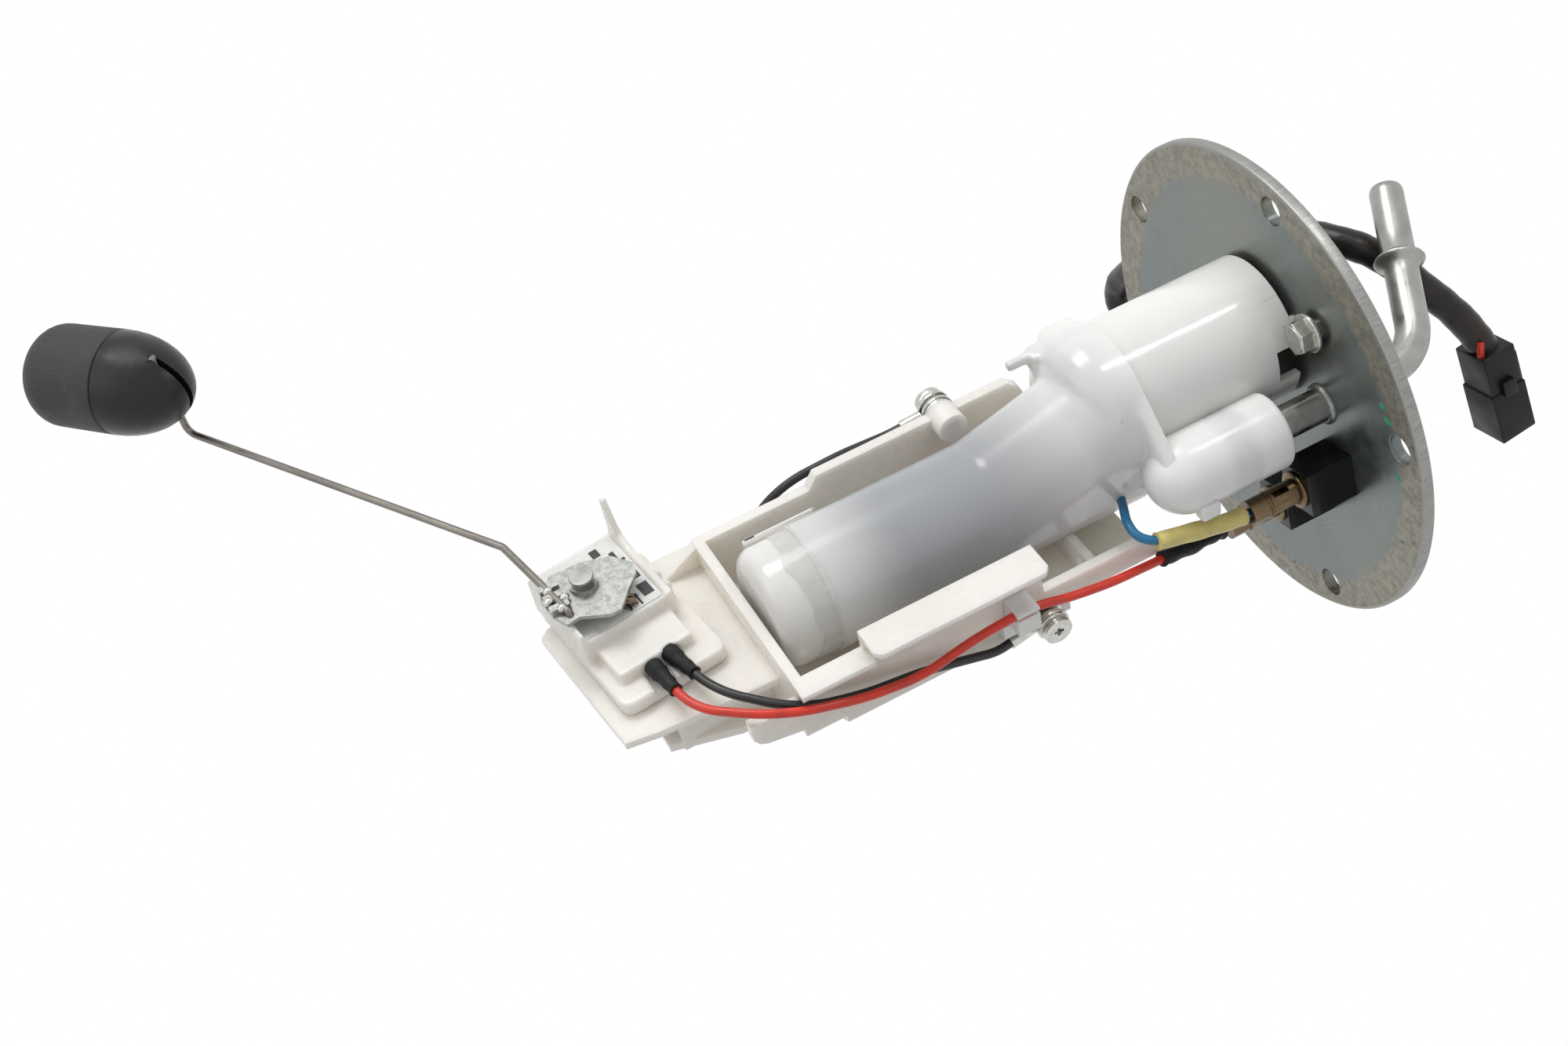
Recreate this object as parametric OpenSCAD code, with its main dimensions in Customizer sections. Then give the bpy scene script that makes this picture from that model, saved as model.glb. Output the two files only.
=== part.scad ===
// In-tank electric fuel pump module with a float level sender.
// Origin: centre of the tank-side face of the mounting flange.
// +Z runs from the flange into the tank, along the pump body.
// The sender card and the open side of the tray face -Y.

/* [Flange] */
// outside diameter of the flange plate
flange_d = 120; // [118:0.5:124]
// thickness of the flange plate
flange_t = 3; // [2.5:0.1:4]
// diameter of the circle the bolt holes lie on
bolt_circle_d = 107; // [106:0.5:109]
// diameter of one bolt hole
bolt_hole_d = 7; // [6.4:0.1:7.6]

/* [Outlet] */
// outside diameter of the outlet pipe
pipe_d = 8; // [7.6:0.1:8.4]
// wall thickness of the outlet pipe
pipe_wall = 1; // [0.8:0.1:1.3]
// radius of the bend outside the flange, on the centre line
bend_r = 14; // [12:0.5:16]
// straight length of the pipe past the bend
spigot_l = 36.8; // [34:0.2:42]
// outside diameter of the stop bead on the spigot
bead_d = 12; // [11:0.2:13]
// outside diameter of the white outlet housing
outlet_d = 18.4; // [18:0.2:18.8]

/* [Strainer cover] */
// outside diameter of the opaque cover
cover_d = 35; // [34:0.2:35.4]
// wall thickness of the cover
cover_wall = 2; // [1.6:0.1:2.4]
// gap between the rim of the cover and the flange
cover_gap = 1.4; // [1:0.1:2.5]

/* [Pump] */
// outside diameter of the pump can
can_d = 25.6; // [25:0.1:26.2]
// sheet thickness of the pump can
can_wall = 1; // [0.8:0.1:1.4]
// thickness of the clear nylon shell
shell_wall = 1.3; // [1.1:0.1:1.4]
// gap between the can and the shell, where the fuel runs back
flow_gap = 1; // [0.8:0.1:1.2]
// diameter of the rotor stack
rotor_d = 16.6; // [16.2:0.1:17]
// diameter of the motor shaft
shaft_d = 3; // [2.6:0.1:3.4]
// running clearance of a shaft or pin in its bore, on the radius
run_gap = 0.05; // [0.03:0.01:0.08]

/* [Tray] */
// overall width of the tray
tray_w = 53; // [52:0.5:54]
// wall thickness of the tray
tray_wall = 2.5; // [2:0.1:2.8]
// far end of the tray, measured from the flange face
tray_end = 137; // [136.5:0.25:138]

/* [Sender] */
// length of the pivot pin above the card
pin_l = 6; // [5.6:0.1:6.4]
// diameter of the pivot pin
pin_d = 4; // [3.6:0.1:4.4]
// diameter of the float arm wire
arm_d = 1.8; // [1.6:0.1:2]
// diameter of the float
float_d = 26; // [24:0.5:28]
// length of the straight barrel of the float
float_l = 16; // [14:0.5:20]
// in-plane turn of the sender on the tray, in degrees
sender_turn = 6.7; // [5:0.1:8]

/* [Leads] */
// outside diameter of the sheathed cable
cable_d = 7.5; // [7:0.1:8]
// outside diameter of one insulated lead
lead_d = 2.1; // [1.8:0.1:2.3]

/* [Hidden] */
$fn = 64;
eps = 0.01;
hole_angles = [-22, 50, 122, -94.5, -161];
pipe_x = -23.5;
pipe_y = -10.5;
pipe_r = pipe_d/2;
pipe_top = 25.5;
pipe_az = -20;
bend_a = 64;
corner_z = -26.5;
bend_z = corner_z + bend_r*tan(bend_a/2);
bead_at = 16.6;
cover_y = -18.1;
cover_r = cover_d/2;
cover_top = 47;
cover_c = [0, -18.1];
foot_c = [-20.2, -30.4];
can_y = -4.5;
can_r = can_d/2;
flow_r = can_r + flow_gap;
shell_r = flow_r + shell_wall;
shell_z0 = 40.4;
shell_z1 = 120;
can_z0 = 57;
can_z1 = 117.4;
cap_z1 = 133;
collar_r = cover_r + 1.1;
flare_c = [-4.6, -19.5];
flare_r = 14;
flare_z = 76;
dome_r = 7;
dome_z = 47.5;
link_a = [-12.4, -7.6, 50.5];
can_tap = [0, can_y + can_r, 96];
link_b = [pipe_x, pipe_y, 39];
outlet_z0 = 13.3;
outlet_z1 = 37;
tray_x = tray_w/2;
tray_rim = -8;
tray_back = 12.6;
plate_y = -1;
pivot = [20.3, -11.5, 164.7];
card_y = -11.5;
wiper_y = -15;
arm_y = -16.9;
bend1 = [41.4, arm_y, 175.8];
bend2 = [125.7, arm_y, 227.5];
float_y = -32;
float_u = [0.722, 0, 0.692];
seam_at = 12.6;
ins1 = [-30.7, 3.8];
ins2 = [-22.3, 15.5];
screw_a = [tray_x, -10, 71];
screw_b = [-tray_x, 8.5, 76.5];

nylon = [0.93, 0.92, 0.90];
clear_nylon = [0.84, 0.84, 0.85, 0.7];
zinc = [0.66, 0.69, 0.71];
steel = [0.75, 0.75, 0.77];
bright = [0.82, 0.82, 0.84];
black_plastic = [0.08, 0.08, 0.09];
bronze = [0.55, 0.43, 0.28];
red = [0.85, 0.15, 0.12];
blue = [0.1, 0.4, 0.62];
yellow = [0.86, 0.76, 0.38];

// a box between two corners
module span(a, b) {
    translate(a) cube(b - a);
}

// a plate outline in X and Z, drawn through the thickness y0 to y1
module slab(points, y0, y1) {
    translate([0, y1, 0]) rotate([90, 0, 0]) linear_extrude(y1 - y0) polygon(points);
}

// a tube of round section swept along a list of points
function unit(v) = v/norm(v);
function spread(p, i) = unit(p[min(i + 1, len(p) - 1)] - p[max(i - 1, 0)]);
function side(t) = unit(cross(t, abs(t[2]) < 0.8 ? [0, 0, 1] : [1, 0, 0]));
function carry(t, s) = unit(s - t*(s*t));
function sides_of(p, i, s) =
    i >= len(p) ? [] : let (n = carry(spread(p, i), s)) concat([n], sides_of(p, i + 1, n));
function ring(c, t, n, r, k) =
    [for (j = [0:k - 1]) c + r*(cos(360*j/k)*n + sin(360*j/k)*cross(t, n))];
function smooth(p, n) =
    n == 0 ? p : smooth(concat([p[0]],
        [for (i = [0:len(p) - 2]) each [p[i]*0.75 + p[i + 1]*0.25, p[i]*0.25 + p[i + 1]*0.75]],
        [p[len(p) - 1]]), n - 1);
module sweep(p, r, k) {
    frames = sides_of(p, 0, side(spread(p, 0)));
    rings = [for (i = [0:len(p) - 1]) each ring(p[i], spread(p, i), frames[i], r, k)];
    last = len(p) - 1;
    walls = [for (i = [0:last - 1]) for (j = [0:k - 1])
        [(i + 1)*k + j, (i + 1)*k + (j + 1)%k, i*k + (j + 1)%k, i*k + j]];
    polyhedron(rings, concat(walls, [[for (j = [0:k - 1]) j]], [[for (j = [0:k - 1]) last*k + k - 1 - j]]),
        convexity = 8);
}

// flange
module flange_plate() {
    r = flange_d/2;
    color(zinc) difference() {
        rotate_extrude() polygon([[0, -flange_t], [r - 0.5, -flange_t], [r, -flange_t + 0.5],
            [r, -0.5], [r - 0.5, 0], [0, 0]]);
        for (a = hole_angles) rotate(a) translate([bolt_circle_d/2, 0, -flange_t - 1])
            cylinder(d = bolt_hole_d, h = flange_t + 2);
        translate([pipe_x, pipe_y, -flange_t - 1]) cylinder(r = pipe_r, h = flange_t + 2);
        for (p = [ins1, ins2]) translate([p[0], p[1], -flange_t - 1])
            cylinder(r = 3.6, h = flange_t + 2);
        translate([foot_c[0], foot_c[1], -flange_t + 0.6]) cylinder(r = 2.5, h = flange_t);
    }
}

// outlet pipe
module on_spigot() {
    translate([pipe_x, pipe_y, bend_z]) rotate(pipe_az)
        translate([bend_r - bend_r*cos(bend_a), 0, -bend_r*sin(bend_a)])
            rotate([0, 180 - bend_a, 0]) children();
}
module pipe_run(r, top, end) {
    translate([pipe_x, pipe_y, bend_z - lap]) cylinder(r = r, h = top - bend_z + lap);
    translate([pipe_x, pipe_y, bend_z]) rotate(pipe_az) translate([bend_r, 0, 0]) rotate([90, 0, 0])
        rotate(180) rotate_extrude(angle = bend_a) translate([bend_r, 0]) circle(r - 0.005);
    on_spigot() translate([0, 0, -lap]) cylinder(r = r, h = end + lap);
}
module outlet_pipe() {
    color(bright) difference() {
        union() {
            pipe_run(pipe_r, pipe_top, spigot_l);
            on_spigot() translate([0, 0, bead_at]) {
                cylinder(r = pipe_r + 0.8, h = 2.6, center = true);
                cylinder(r = bead_d/2, h = 1.8, center = true);
            }
        }
        pipe_run(pipe_r - pipe_wall, pipe_top + 1, spigot_l + 1);
    }
}
module pipe_weld() {
    color(steel) translate([pipe_x, pipe_y, 0]) rotate_extrude()
        polygon([[pipe_r, 0], [pipe_r + 1.6, 0], [pipe_r + 1.4, 0.6], [pipe_r + 0.7, 1.2], [pipe_r, 1.4]]);
}

// electric feed-through
module insulator(p) {
    translate([p[0], p[1], 0]) difference() {
        union() {
            rotate(15) translate([-5.2, -5.4, 0]) cube([10.4, 10.8, 12]);
            translate([0, 0, -flange_t - 1.4]) cylinder(r = 3.6, h = flange_t + 1.5);
            translate([0, 0, -flange_t - 3.4]) cylinder(r = 5.6, h = 3.4);
        }
        translate([0, 0, -8]) cylinder(r = 1.6, h = 24);
    }
}
module terminal_insulators() {
    color(black_plastic) {
        insulator(ins1);
        insulator(ins2);
    }
}
module terminals() {
    color(bronze) for (p = [ins1, ins2]) translate([p[0], p[1], 0]) {
        translate([0, 0, -7]) cylinder(r = 1.6, h = 19.2);
        difference() {
            union() {
                translate([0, 0, 12]) cylinder(r = 4.5, h = 0.8);
                translate([0, 0, 12.8]) cylinder(r = 3, h = 12.4);
            }
            translate([0, 0, 21]) cylinder(r = lead_r + slip, h = 6);
            rotate(-105) translate([0, -0.7, 15]) cube([5, 1.4, 4]);
        }
    }
}

// cable outside the flange
module cable_grommet() {
    color(black_plastic) difference() {
        union() {
            hull() for (p = [ins1, ins2]) translate([p[0], p[1], -flange_t - 10]) cylinder(r = 6.5, h = 10);
        }
        for (p = [ins1, ins2]) {
            translate([p[0], p[1], -flange_t - 3.4]) cylinder(r = 5.6, h = 4);
            translate([p[0], p[1], -7.2]) cylinder(r = 1.6, h = 4);
        }
        cable(slip);
    }
}
cable_route = [[-24, 14, -13], [-24, 17, -17], [-18, 26, -20], [-4, 40, -21], [18, 54, -21], [44, 62, -20],
    [68, 59, -18], [87, 50, -16], [91, 41, -16], [80, 27, -17], [60, 8, -22], [38, -7, -28],
    [20, -13, -34], [10, -11, -41], [2.4, -2.4, -48], [-4.6, 7.4, -55.5], [-9.6, 17, -59.6]];
module cable(gap) {
    sweep(smooth(cable_route, 1), cable_d/2 + gap, 10);
}
module harness_cable() {
    color(black_plastic) cable(0);
}
module at_plug() {
    translate([-9, 15, -59]) rotate([-97, 0, 15]) children();
}
module ports(w, h, z0, z1) {
    for (x = [-3.3, 0, 3.3], y = [-1.8, 1.8]) translate([x - w/2, y - h/2, z0]) cube([w, h, z1 - z0]);
}
module connector() {
    color(black_plastic) difference() {
        at_plug() union() {
            translate([-5.4, -4.6, 0]) cube([10.8, 9.2, 11]);
            translate([-5.8, -5, 11]) cube([11.6, 10, 14]);
            translate([-7, -1.9, 8]) cube([2, 3.8, 4]);
        }
        at_plug() ports(2, 1.7, 13, 26);
        cable(slip);
    }
}
module connector_terminals() {
    color(bronze) at_plug() difference() {
        ports(2, 1.7, 13, 22);
        ports(1.3, 0.8, 15, 23);
    }
}

// strainer under the opaque cover
module strainer_cover() {
    color(nylon) difference() {
        union() {
            translate([0, cover_y, cover_gap]) cylinder(r = cover_r, h = cover_top - cover_gap);
            translate([foot_c[0], foot_c[1], 0]) cylinder(r = 6.6, h = 4);
            translate([0, cover_y, 0]) rotate(-148.7) translate([14, -3, 0]) cube([5, 6, 4]);
        }
        translate([0, cover_y, -1]) cylinder(r = cover_r - cover_wall, h = cover_top - cover_wall + 1);
        translate([foot_c[0], foot_c[1], 1.2]) cylinder(r = 5.3, h = 12);
        translate([0, cover_y, 0]) rotate(-148.7) translate([24.4, -8, 1.2]) cube([9, 16, 5]);
        translate([foot_c[0], foot_c[1], -1]) cylinder(r = 2.5, h = 4);
        translate([0, cover_y, 0]) rotate(-172) translate([10, -4, 0]) cube([12, 8, 7]);
        translate([0, cover_y, 0]) rotate(30) translate([10, -6, 0]) cube([12, 12, 5]);
        translate([0, cover_y, cover_top - cover_wall - 1]) cylinder(r = 5, h = 6);
    }
}
module flange_bolt() {
    color(bright) translate([foot_c[0], foot_c[1], 0]) {
        translate([0, 0, 1.2]) cylinder(r = 4.7, h = 0.9);
        translate([0, 0, 2.1]) rotate(12) cylinder(r = 4.05, h = 3.6, $fn = 6);
        translate([0, 0, -flange_t + 0.6]) cylinder(r = 2.5, h = flange_t + 1.2);
    }
}
module strainer() {
    color([0.85, 0.86, 0.82]) translate([0, cover_y, 0]) difference() {
        union() {
            translate([0, 0, 6]) cylinder(r = 13.5, h = cover_top - cover_wall - 6);
            translate([0, 0, cover_top - cover_wall - 1]) cylinder(r = 5, h = 5.2);
        }
        translate([0, 0, 8]) cylinder(r = 11.9, h = cover_top - cover_wall - 10);
        translate([0, 0, 40]) cylinder(r = 3.4, h = 20);
    }
}

// the outline round two circles, its straight sides just inside the tangents
function turned(v, a) = [v[0]*cos(a) - v[1]*sin(a), v[0]*sin(a) + v[1]*cos(a)];
function tangent_at(c0, r0, c1, r1, s) = turned((c1 - c0)/norm(c1 - c0), s*acos((r0 - r1)/norm(c1 - c0)));
module belt(c0, r0, c1, r1) {
    n = tangent_at(c0, r0, c1, r1, 1);
    m = tangent_at(c0, r0, c1, r1, -1);
    q = 0.08;
    translate(c0) circle(r0);
    translate(c1) circle(r1);
    polygon([c0 + (r0 - q)*n, c0 + (r0 - q)*m, c1 + (r1 - q)*m, c1 + (r1 - q)*n]);
}
// a straight rod between two points
module rod(a, b, r) {
    v = b - a;
    translate(a) rotate([0, acos(v[2]/norm(v)), atan2(v[1], v[0])]) cylinder(r = r, h = norm(v));
}

// pump shell
module domed(c, r, z0, z1, e) {
    translate([c[0], c[1], 0]) rotate_extrude() {
        translate([0, z0]) square([r, z1 - z0]);
        translate([0, z1 - 1]) square([r - e, e + 1]);
        intersection() {
            translate([r - e, z1]) circle(e);
            translate([r - e - 1, z1 - 1]) square([e + 2, e + 2]);
        }
    }
}
module collar_body() {
    domed(cover_c, collar_r, shell_z0, dome_z, dome_r);
    translate([0, 0, shell_z0]) linear_extrude(6) belt(cover_c, collar_r, [0, can_y], shell_r);
    translate([0, 0, shell_z0]) linear_extrude(3.4) belt(cover_c, collar_r, [pipe_x, pipe_y], outlet_d/2 + 0.9);
    hull() {
        translate([flare_c[0], flare_c[1], dome_z]) cylinder(r = flare_r, h = 1, $fn = 48);
        translate([0, can_y, dome_z]) cylinder(r = shell_r - 0.1, h = flare_z - dome_z, $fn = 48);
    }
}
// a round body with a ball nose, turned in one piece
module nosed(r, z0, z1) {
    translate([pipe_x, pipe_y, 0]) rotate_extrude() intersection() {
        union() {
            translate([0, z0]) square([r, z1 - z0]);
            translate([0, z1]) circle(r);
        }
        translate([0, z0]) square([2*r, z1 - z0 + 2*r]);
    }
}
module outlet_body() {
    nosed(outlet_d/2, outlet_z0, outlet_z1);
}
module pump_shell() {
    color(clear_nylon) difference() {
        union() {
            collar_body();
            translate([0, can_y, shell_z0]) cylinder(r = shell_r, h = shell_z1 - shell_z0);
            rod(link_a, link_b, 2.9);
            rod(can_tap + [0, 1.2, 0], can_tap + [0, 4, 0], 2.6);
            slab([[8, 41], [14.2, 39.6], [16, 42], [16, 47.4], [14.6, 49.8], [12.8, 50.4],
                [12.8, 53.9], [12, 54.6], [8, 54.6]], -31.5, -26);
            span([10.2, -31, 54], [11.8, -28.5, 60]);
            span([8, -27, 44], [13, -12, 53]);
        }
        translate([0, cover_y, shell_z0 - 1]) cylinder(r = cover_r, h = cover_top - shell_z0 + 1);
        translate([0, cover_y, cover_top - 1]) cylinder(r = 5, h = 4);
        translate([0, 0, cover_top + 2]) linear_extrude(3) belt(cover_c, 7, [0, can_y], 11.2);
        translate([0, can_y, cover_top + 2]) {
            cylinder(r = 11.2, h = can_z0 - cover_top);
            rotate([0, 0, 175]) rotate_extrude(angle = 36) translate([12.2, 0]) square([1.5, 12]);
        }
        translate([0, can_y, can_z0]) cylinder(r = can_r, h = shell_z1);
        translate([0, can_y, can_z0 + 2]) difference() {
            cylinder(r = flow_r, h = shell_z1);
            for (a = [30, 150, 270]) rotate(a) translate([can_r - 2, -1, 40]) cube([4, 2, 18]);
        }
        rod(link_a, link_b, 2);
        outlet_body();
        rod(blue_route[6], blue_route[7], lead_r);
        rod(can_tap, can_tap + [0, 8, 0], lead_r);
        span([3, -38, 39], [8, -32.4, 43]);
        span([16, -30, 42.4], [19, -27.5, 46.4]);
    }
}
module end_cap() {
    r = shell_r - 0.6;
    color(nylon) difference() {
        translate([0, can_y, shell_z1]) {
            cylinder(r = r, h = cap_z1 - shell_z1 - 4);
            cylinder(r = r - 4, h = cap_z1 - shell_z1);
            translate([0, 0, cap_z1 - shell_z1 - 4]) rotate_extrude() translate([r - 4, 0]) circle(4);
        }
        translate([0, can_y, shell_z1 - 1]) cylinder(r = r - 1.6, h = cap_z1 - shell_z1 - 4.6);
        translate([0, can_y, shell_z1 - 1]) cylinder(r = r - 4.6, h = cap_z1 - shell_z1 - 0.8);
    }
}
module cap_collar() {
    r = shell_r - 0.6;
    color(clear_nylon) difference() {
        translate([0, can_y, shell_z1]) cylinder(r = r + 0.8, h = 4);
        translate([0, can_y, shell_z1 - 1]) cylinder(r = r, h = 6);
    }
}

// pump
module on_pump(z) {
    translate([0, can_y, z]) children();
}
module pump_can() {
    color(steel) on_pump(can_z0) difference() {
        cylinder(r = can_r, h = can_z1 - can_z0);
        translate([0, 0, -1]) cylinder(r = can_r - can_wall, h = can_z1 - can_z0 + 0.2);
        cylinder(r = can_r - 2.4, h = can_z1);
    }
}
in_r = can_r - can_wall;
shaft_r = shaft_d/2;
rotor_r = rotor_d/2;
module inlet_casing() {
    color(zinc) on_pump(can_z0) difference() {
        cylinder(r = in_r, h = 4);
        translate([9, 0, -1]) cylinder(r = 2, h = 6);
        translate([0, 0, 3]) rotate_extrude(angle = 290) translate([8.2, 0]) square([2.6, 2]);
        translate([0, 0, 1.8]) cylinder(r = shaft_r + run_gap, h = 4);
    }
}
module outlet_casing() {
    color(zinc) on_pump(can_z0 + 4) difference() {
        cylinder(r = in_r, h = 9);
        translate([0, 0, -1]) cylinder(r = 11, h = 4.6);
        translate([0, 0, 6]) cylinder(r = 7, h = 4);
        translate([0, 0, -1]) cylinder(r = shaft_r + run_gap, h = 12);
        rotate(-70) translate([9.2, 0, -1]) cylinder(r = 1.6, h = 12);
    }
}
module impeller() {
    color(black_plastic) on_pump(can_z0 + 4.3) difference() {
        cylinder(r = 10.8, h = 3);
        translate([0, 0, -1]) cylinder(r = shaft_r, h = 5);
        for (i = [0:17]) rotate(i*20) translate([8.2, -0.6, -1]) cube([2, 1.2, 5]);
    }
}
module magnets() {
    color([0.25, 0.25, 0.27]) on_pump(72) for (a = [35, 215]) rotate(a)
        rotate_extrude(angle = 110) translate([rotor_r + 1, 0]) square([in_r - rotor_r - 1, 29]);
}
module rotor() {
    color(steel) on_pump(0) {
        translate([0, 0, can_z0 + 2.2]) cylinder(r = shaft_r, h = 53);
        difference() {
            translate([0, 0, 74]) cylinder(r = rotor_r, h = 24);
            for (i = [0:7]) rotate(i*45) translate([6, -0.6, 73]) cube([4, 1.2, 26]);
        }
        translate([0, 0, 71.6]) cylinder(r = 8, h = 2.4);
        translate([0, 0, 98]) cylinder(r = 8, h = 2.6);
        translate([0, 0, 100.6]) cylinder(r = 5, h = 7.6);
    }
}
module brush_holder() {
    color(nylon) on_pump(0) difference() {
        union() {
            translate([0, 0, 103]) cylinder(r = in_r, h = can_z1 - 0.8 - 103);
            translate([0, 0, 116]) cylinder(r = 6.4, h = 12.6);
            for (a = [45, 225]) rotate(a) translate([8.4, 0, 116]) cylinder(r = 1.5, h = 5);
        }
        translate([0, 0, 102]) cylinder(r = 10.4, h = 7);
        translate([0, 0, 108]) cylinder(r = shaft_r + run_gap, h = 4.8);
        for (a = [0, 180]) rotate(a) translate([10, -1.6, 103.6]) cube([1.2, 3.2, 4.2]);
        for (a = [0:60:300]) rotate(a) translate([3, 0, 108]) cylinder(r = 0.9, h = 8);
        translate([0, 0, 114.5]) cylinder(r = 4.6, h = 12.3);
        translate([0, 0, 114.5]) cylinder(r = 3.2, h = 16);
    }
}
module brushes() {
    color([0.2, 0.2, 0.2]) on_pump(0) for (a = [0, 180]) rotate(a) difference() {
        translate([4.8, -1.6, 103.6]) cube([6.4, 3.2, 4.2]);
        translate([0, 0, 103]) cylinder(r = 5.3, h = 6);
    }
}
module check_valve() {
    color(black_plastic) on_pump(0) {
        translate([0, 0, 114.8]) cylinder(r = 4.2, h = 1.6);
        translate([0, 0, 116.4]) cylinder(r = 2, h = 8);
    }
}

// outlet housing and pressure regulator
module on_pipe(z) {
    translate([pipe_x, pipe_y, z]) children();
}
module outlet_housing() {
    color(nylon) difference() {
        union() {
            outlet_body();
            span([pipe_x - 9.4, pipe_y + 3, 34], [pipe_x - 6, pipe_y + 7.2, 38.4]);
        }
        on_pipe(outlet_z0 - 1) cylinder(r = pipe_r, h = 20);
        on_pipe(20.9) cylinder(r = 6.2, h = 2.6);
        nosed(6.2, pipe_top, outlet_z1);
        translate([0, cover_y, 0]) cylinder(r = cover_r + 0.1, h = cover_top);
        on_pipe(outlet_z1) cylinder(r = 2.6, h = 12);
        on_pipe(pipe_top - 1) cylinder(r = 5, h = 2);
        rod(link_a, link_b, 2);
    }
}
module outlet_o_ring() {
    color([0.12, 0.1, 0.1]) on_pipe(22.2) rotate_extrude() translate([5.1, 0]) circle(1.1);
}
module regulator_body() {
    color(bright) on_pipe(0) difference() {
        union() {
            translate([0, 0, 28]) cylinder(r = 5.4, h = 10.6);
            translate([0, 0, 38]) cylinder(r = 2.6, h = 8.8);
        }
        translate([0, 0, 29]) cylinder(r = 4.6, h = spring_z1 - 29);
        translate([0, 0, 27]) cylinder(r = 1.5, h = 4);
        translate([0, 0, 34]) cylinder(r = 1.6, h = 20);
    }
}
module regulator_valve() {
    color(steel) on_pipe(0) {
        translate([0, 0, 29.2]) cylinder(r = 4.2, h = spring_z0 - 29.2);
        translate([0, 0, spring_z0]) cylinder(r = 1.8, h = 2);
    }
}
spring_z0 = 30.6;
spring_z1 = 37.8;
spring_turns = 4;
module regulator_spring() {
    turns = spring_turns;
    pts = [for (i = [0:60]) let (a = i/60*turns*360, c = 0.4 + i/60*(spring_z1 - spring_z0 - 0.8))
        [2.9*cos(a), 2.9*sin(a), c]];
    color(steel) on_pipe(spring_z0) sweep(pts, 0.4, 8);
}

// tray that holds the pump
module panel(points, x0, x1) {
    translate([x0, 0, 0]) rotate([90, 0, 90]) linear_extrude(x1 - x0) polygon(points);
}
tray_in = tray_x - tray_wall;
back = tray_back + 2.2;
module cradle(z) {
    translate([0, 0, z]) linear_extrude(2) difference() {
        translate([-tray_in, 4]) square([2*tray_in, tray_back - 4 + 0.1]);
        translate([0, can_y]) circle(shell_r);
    }
}
module corner(s, a, b) {
    translate([0, 0, a]) linear_extrude(b - a) polygon([[s*(tray_x + 0.5), back - 4.6],
        [s*tray_x, back - 4.3], [s*(tray_x - 6), back], [s*(tray_x - 6), back + 0.5], [s*(tray_x + 0.5), back + 0.5]]);
}
module tray() {
    z2 = tray_end - 1;
    color(nylon) difference() {
        union() {
            span([-tray_x, tray_back, 45], [tray_x, back, tray_end]);
            panel([[back, 45], [back, tray_end], [tray_rim, tray_end], [tray_rim, 77], [1, 76], [1, 51],
                [7, 45]], -tray_x, -tray_in);
            panel([[back, 45], [back, tray_end], [tray_rim, tray_end], [tray_rim, 107.5], [-11.6, 105],
                [-11.6, 54], [-9, 51], [5, 45]], tray_in, tray_x);
            for (s = [-1, 1]) translate([0, 0, 45]) linear_extrude(tray_end - 45)
                polygon([[s*(tray_in + 0.5), back - 5.4], [s*(tray_in - 4.2), tray_back + 0.5],
                    [s*(tray_in + 0.5), tray_back + 0.5]]);
            span([-tray_x, tray_rim, tray_end - tray_wall], [tray_x, back, tray_end]);
            span([-29.7, tray_rim, 119], [-tray_x, tray_rim + 1.6, tray_end]);
            slab([[-24, 77], [-31.5, 77], [-33, 78.5], [-33, 118.5], [-31.5, 120], [-24, 120]], -13, -11.5);
            span([-25.5, -12, 77], [-24, tray_rim + 1, 120]);
            slab([[25.4, 177], [27.5, 174.7], [32.2, 145.4], [32, z2], [-16, z2], [-14.4, 165.1],
                [-13.1, 173]], plate_y, plate_y + 2);
            slab([[26, z2], [-12.6, z2], [-12.6, 147], [-8, 163], [22, 163]], tray_back, back);
            for (x = [-9.5, 18]) panel([[plate_y + 1, z2], [plate_y + 1, 160], [back, 160], [back, z2]], x, x + 2);
            panel([[tray_rim, z2], [plate_y, 147.5], [plate_y, z2]], tray_in, tray_x);
            panel([[-3, 134], [-3, 148.8], [1.5, 148.8], [3.4, 147.6], [4.4, 145.8], [7.4, 130], [7.4, 126]],
                -tray_x, -tray_in);
            for (z = [60, 112]) cradle(z);
            translate([tray_in - 4, screw_a[1], screw_a[2]]) rotate([0, 90, 0]) cylinder(r = 3.8, h = tray_wall + 4);
            translate([-tray_in - 1, screw_b[1], screw_b[2]]) rotate([0, 90, 0]) cylinder(r = 3.8, h = 5);
        }
        for (s = [-1, 1]) corner(s, 44, tray_end + 1);
        span([-tray_x - 1, 8.4, 127], [-19, back + 1, tray_end + 1]);
        span([tray_in - 1, -2.6, 107], [tray_x + 1, 0.4, 126]);
        translate([tray_in - 3, screw_a[1], screw_a[2]]) rotate([0, 90, 0]) cylinder(r = 1.9, h = 8);
        translate([-tray_x - 1, screw_b[1], screw_b[2]]) rotate([0, 90, 0]) cylinder(r = 1.9, h = 6.5);
        span([-14, tray_back - 1, 78], [14, back + 1, 104]);
        span([-tray_x - 1, 7, 44], [-17, back + 1, 70]);
    }
}
module at_screw(p, s) {
    translate(p) rotate([0, s*90, 0]) children();
}
module ground_screw(p, s) {
    at_screw(p, s) {
        translate([0, 0, -5]) cylinder(r = 1.9, h = 8);
        translate([0, 0, 2.6]) cylinder(r = 4, h = 0.8);
        difference() {
            translate([0, 0, 3.4]) cylinder(r = 3.4, h = 2.4);
            translate([-3, -0.4, 4.6]) cube([6, 0.8, 2]);
            translate([-0.4, -3, 4.6]) cube([0.8, 6, 2]);
        }
    }
}
module ground_screws() {
    color(bright) {
        ground_screw(screw_a, 1);
        ground_screw(screw_b, -1);
    }
}
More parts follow.
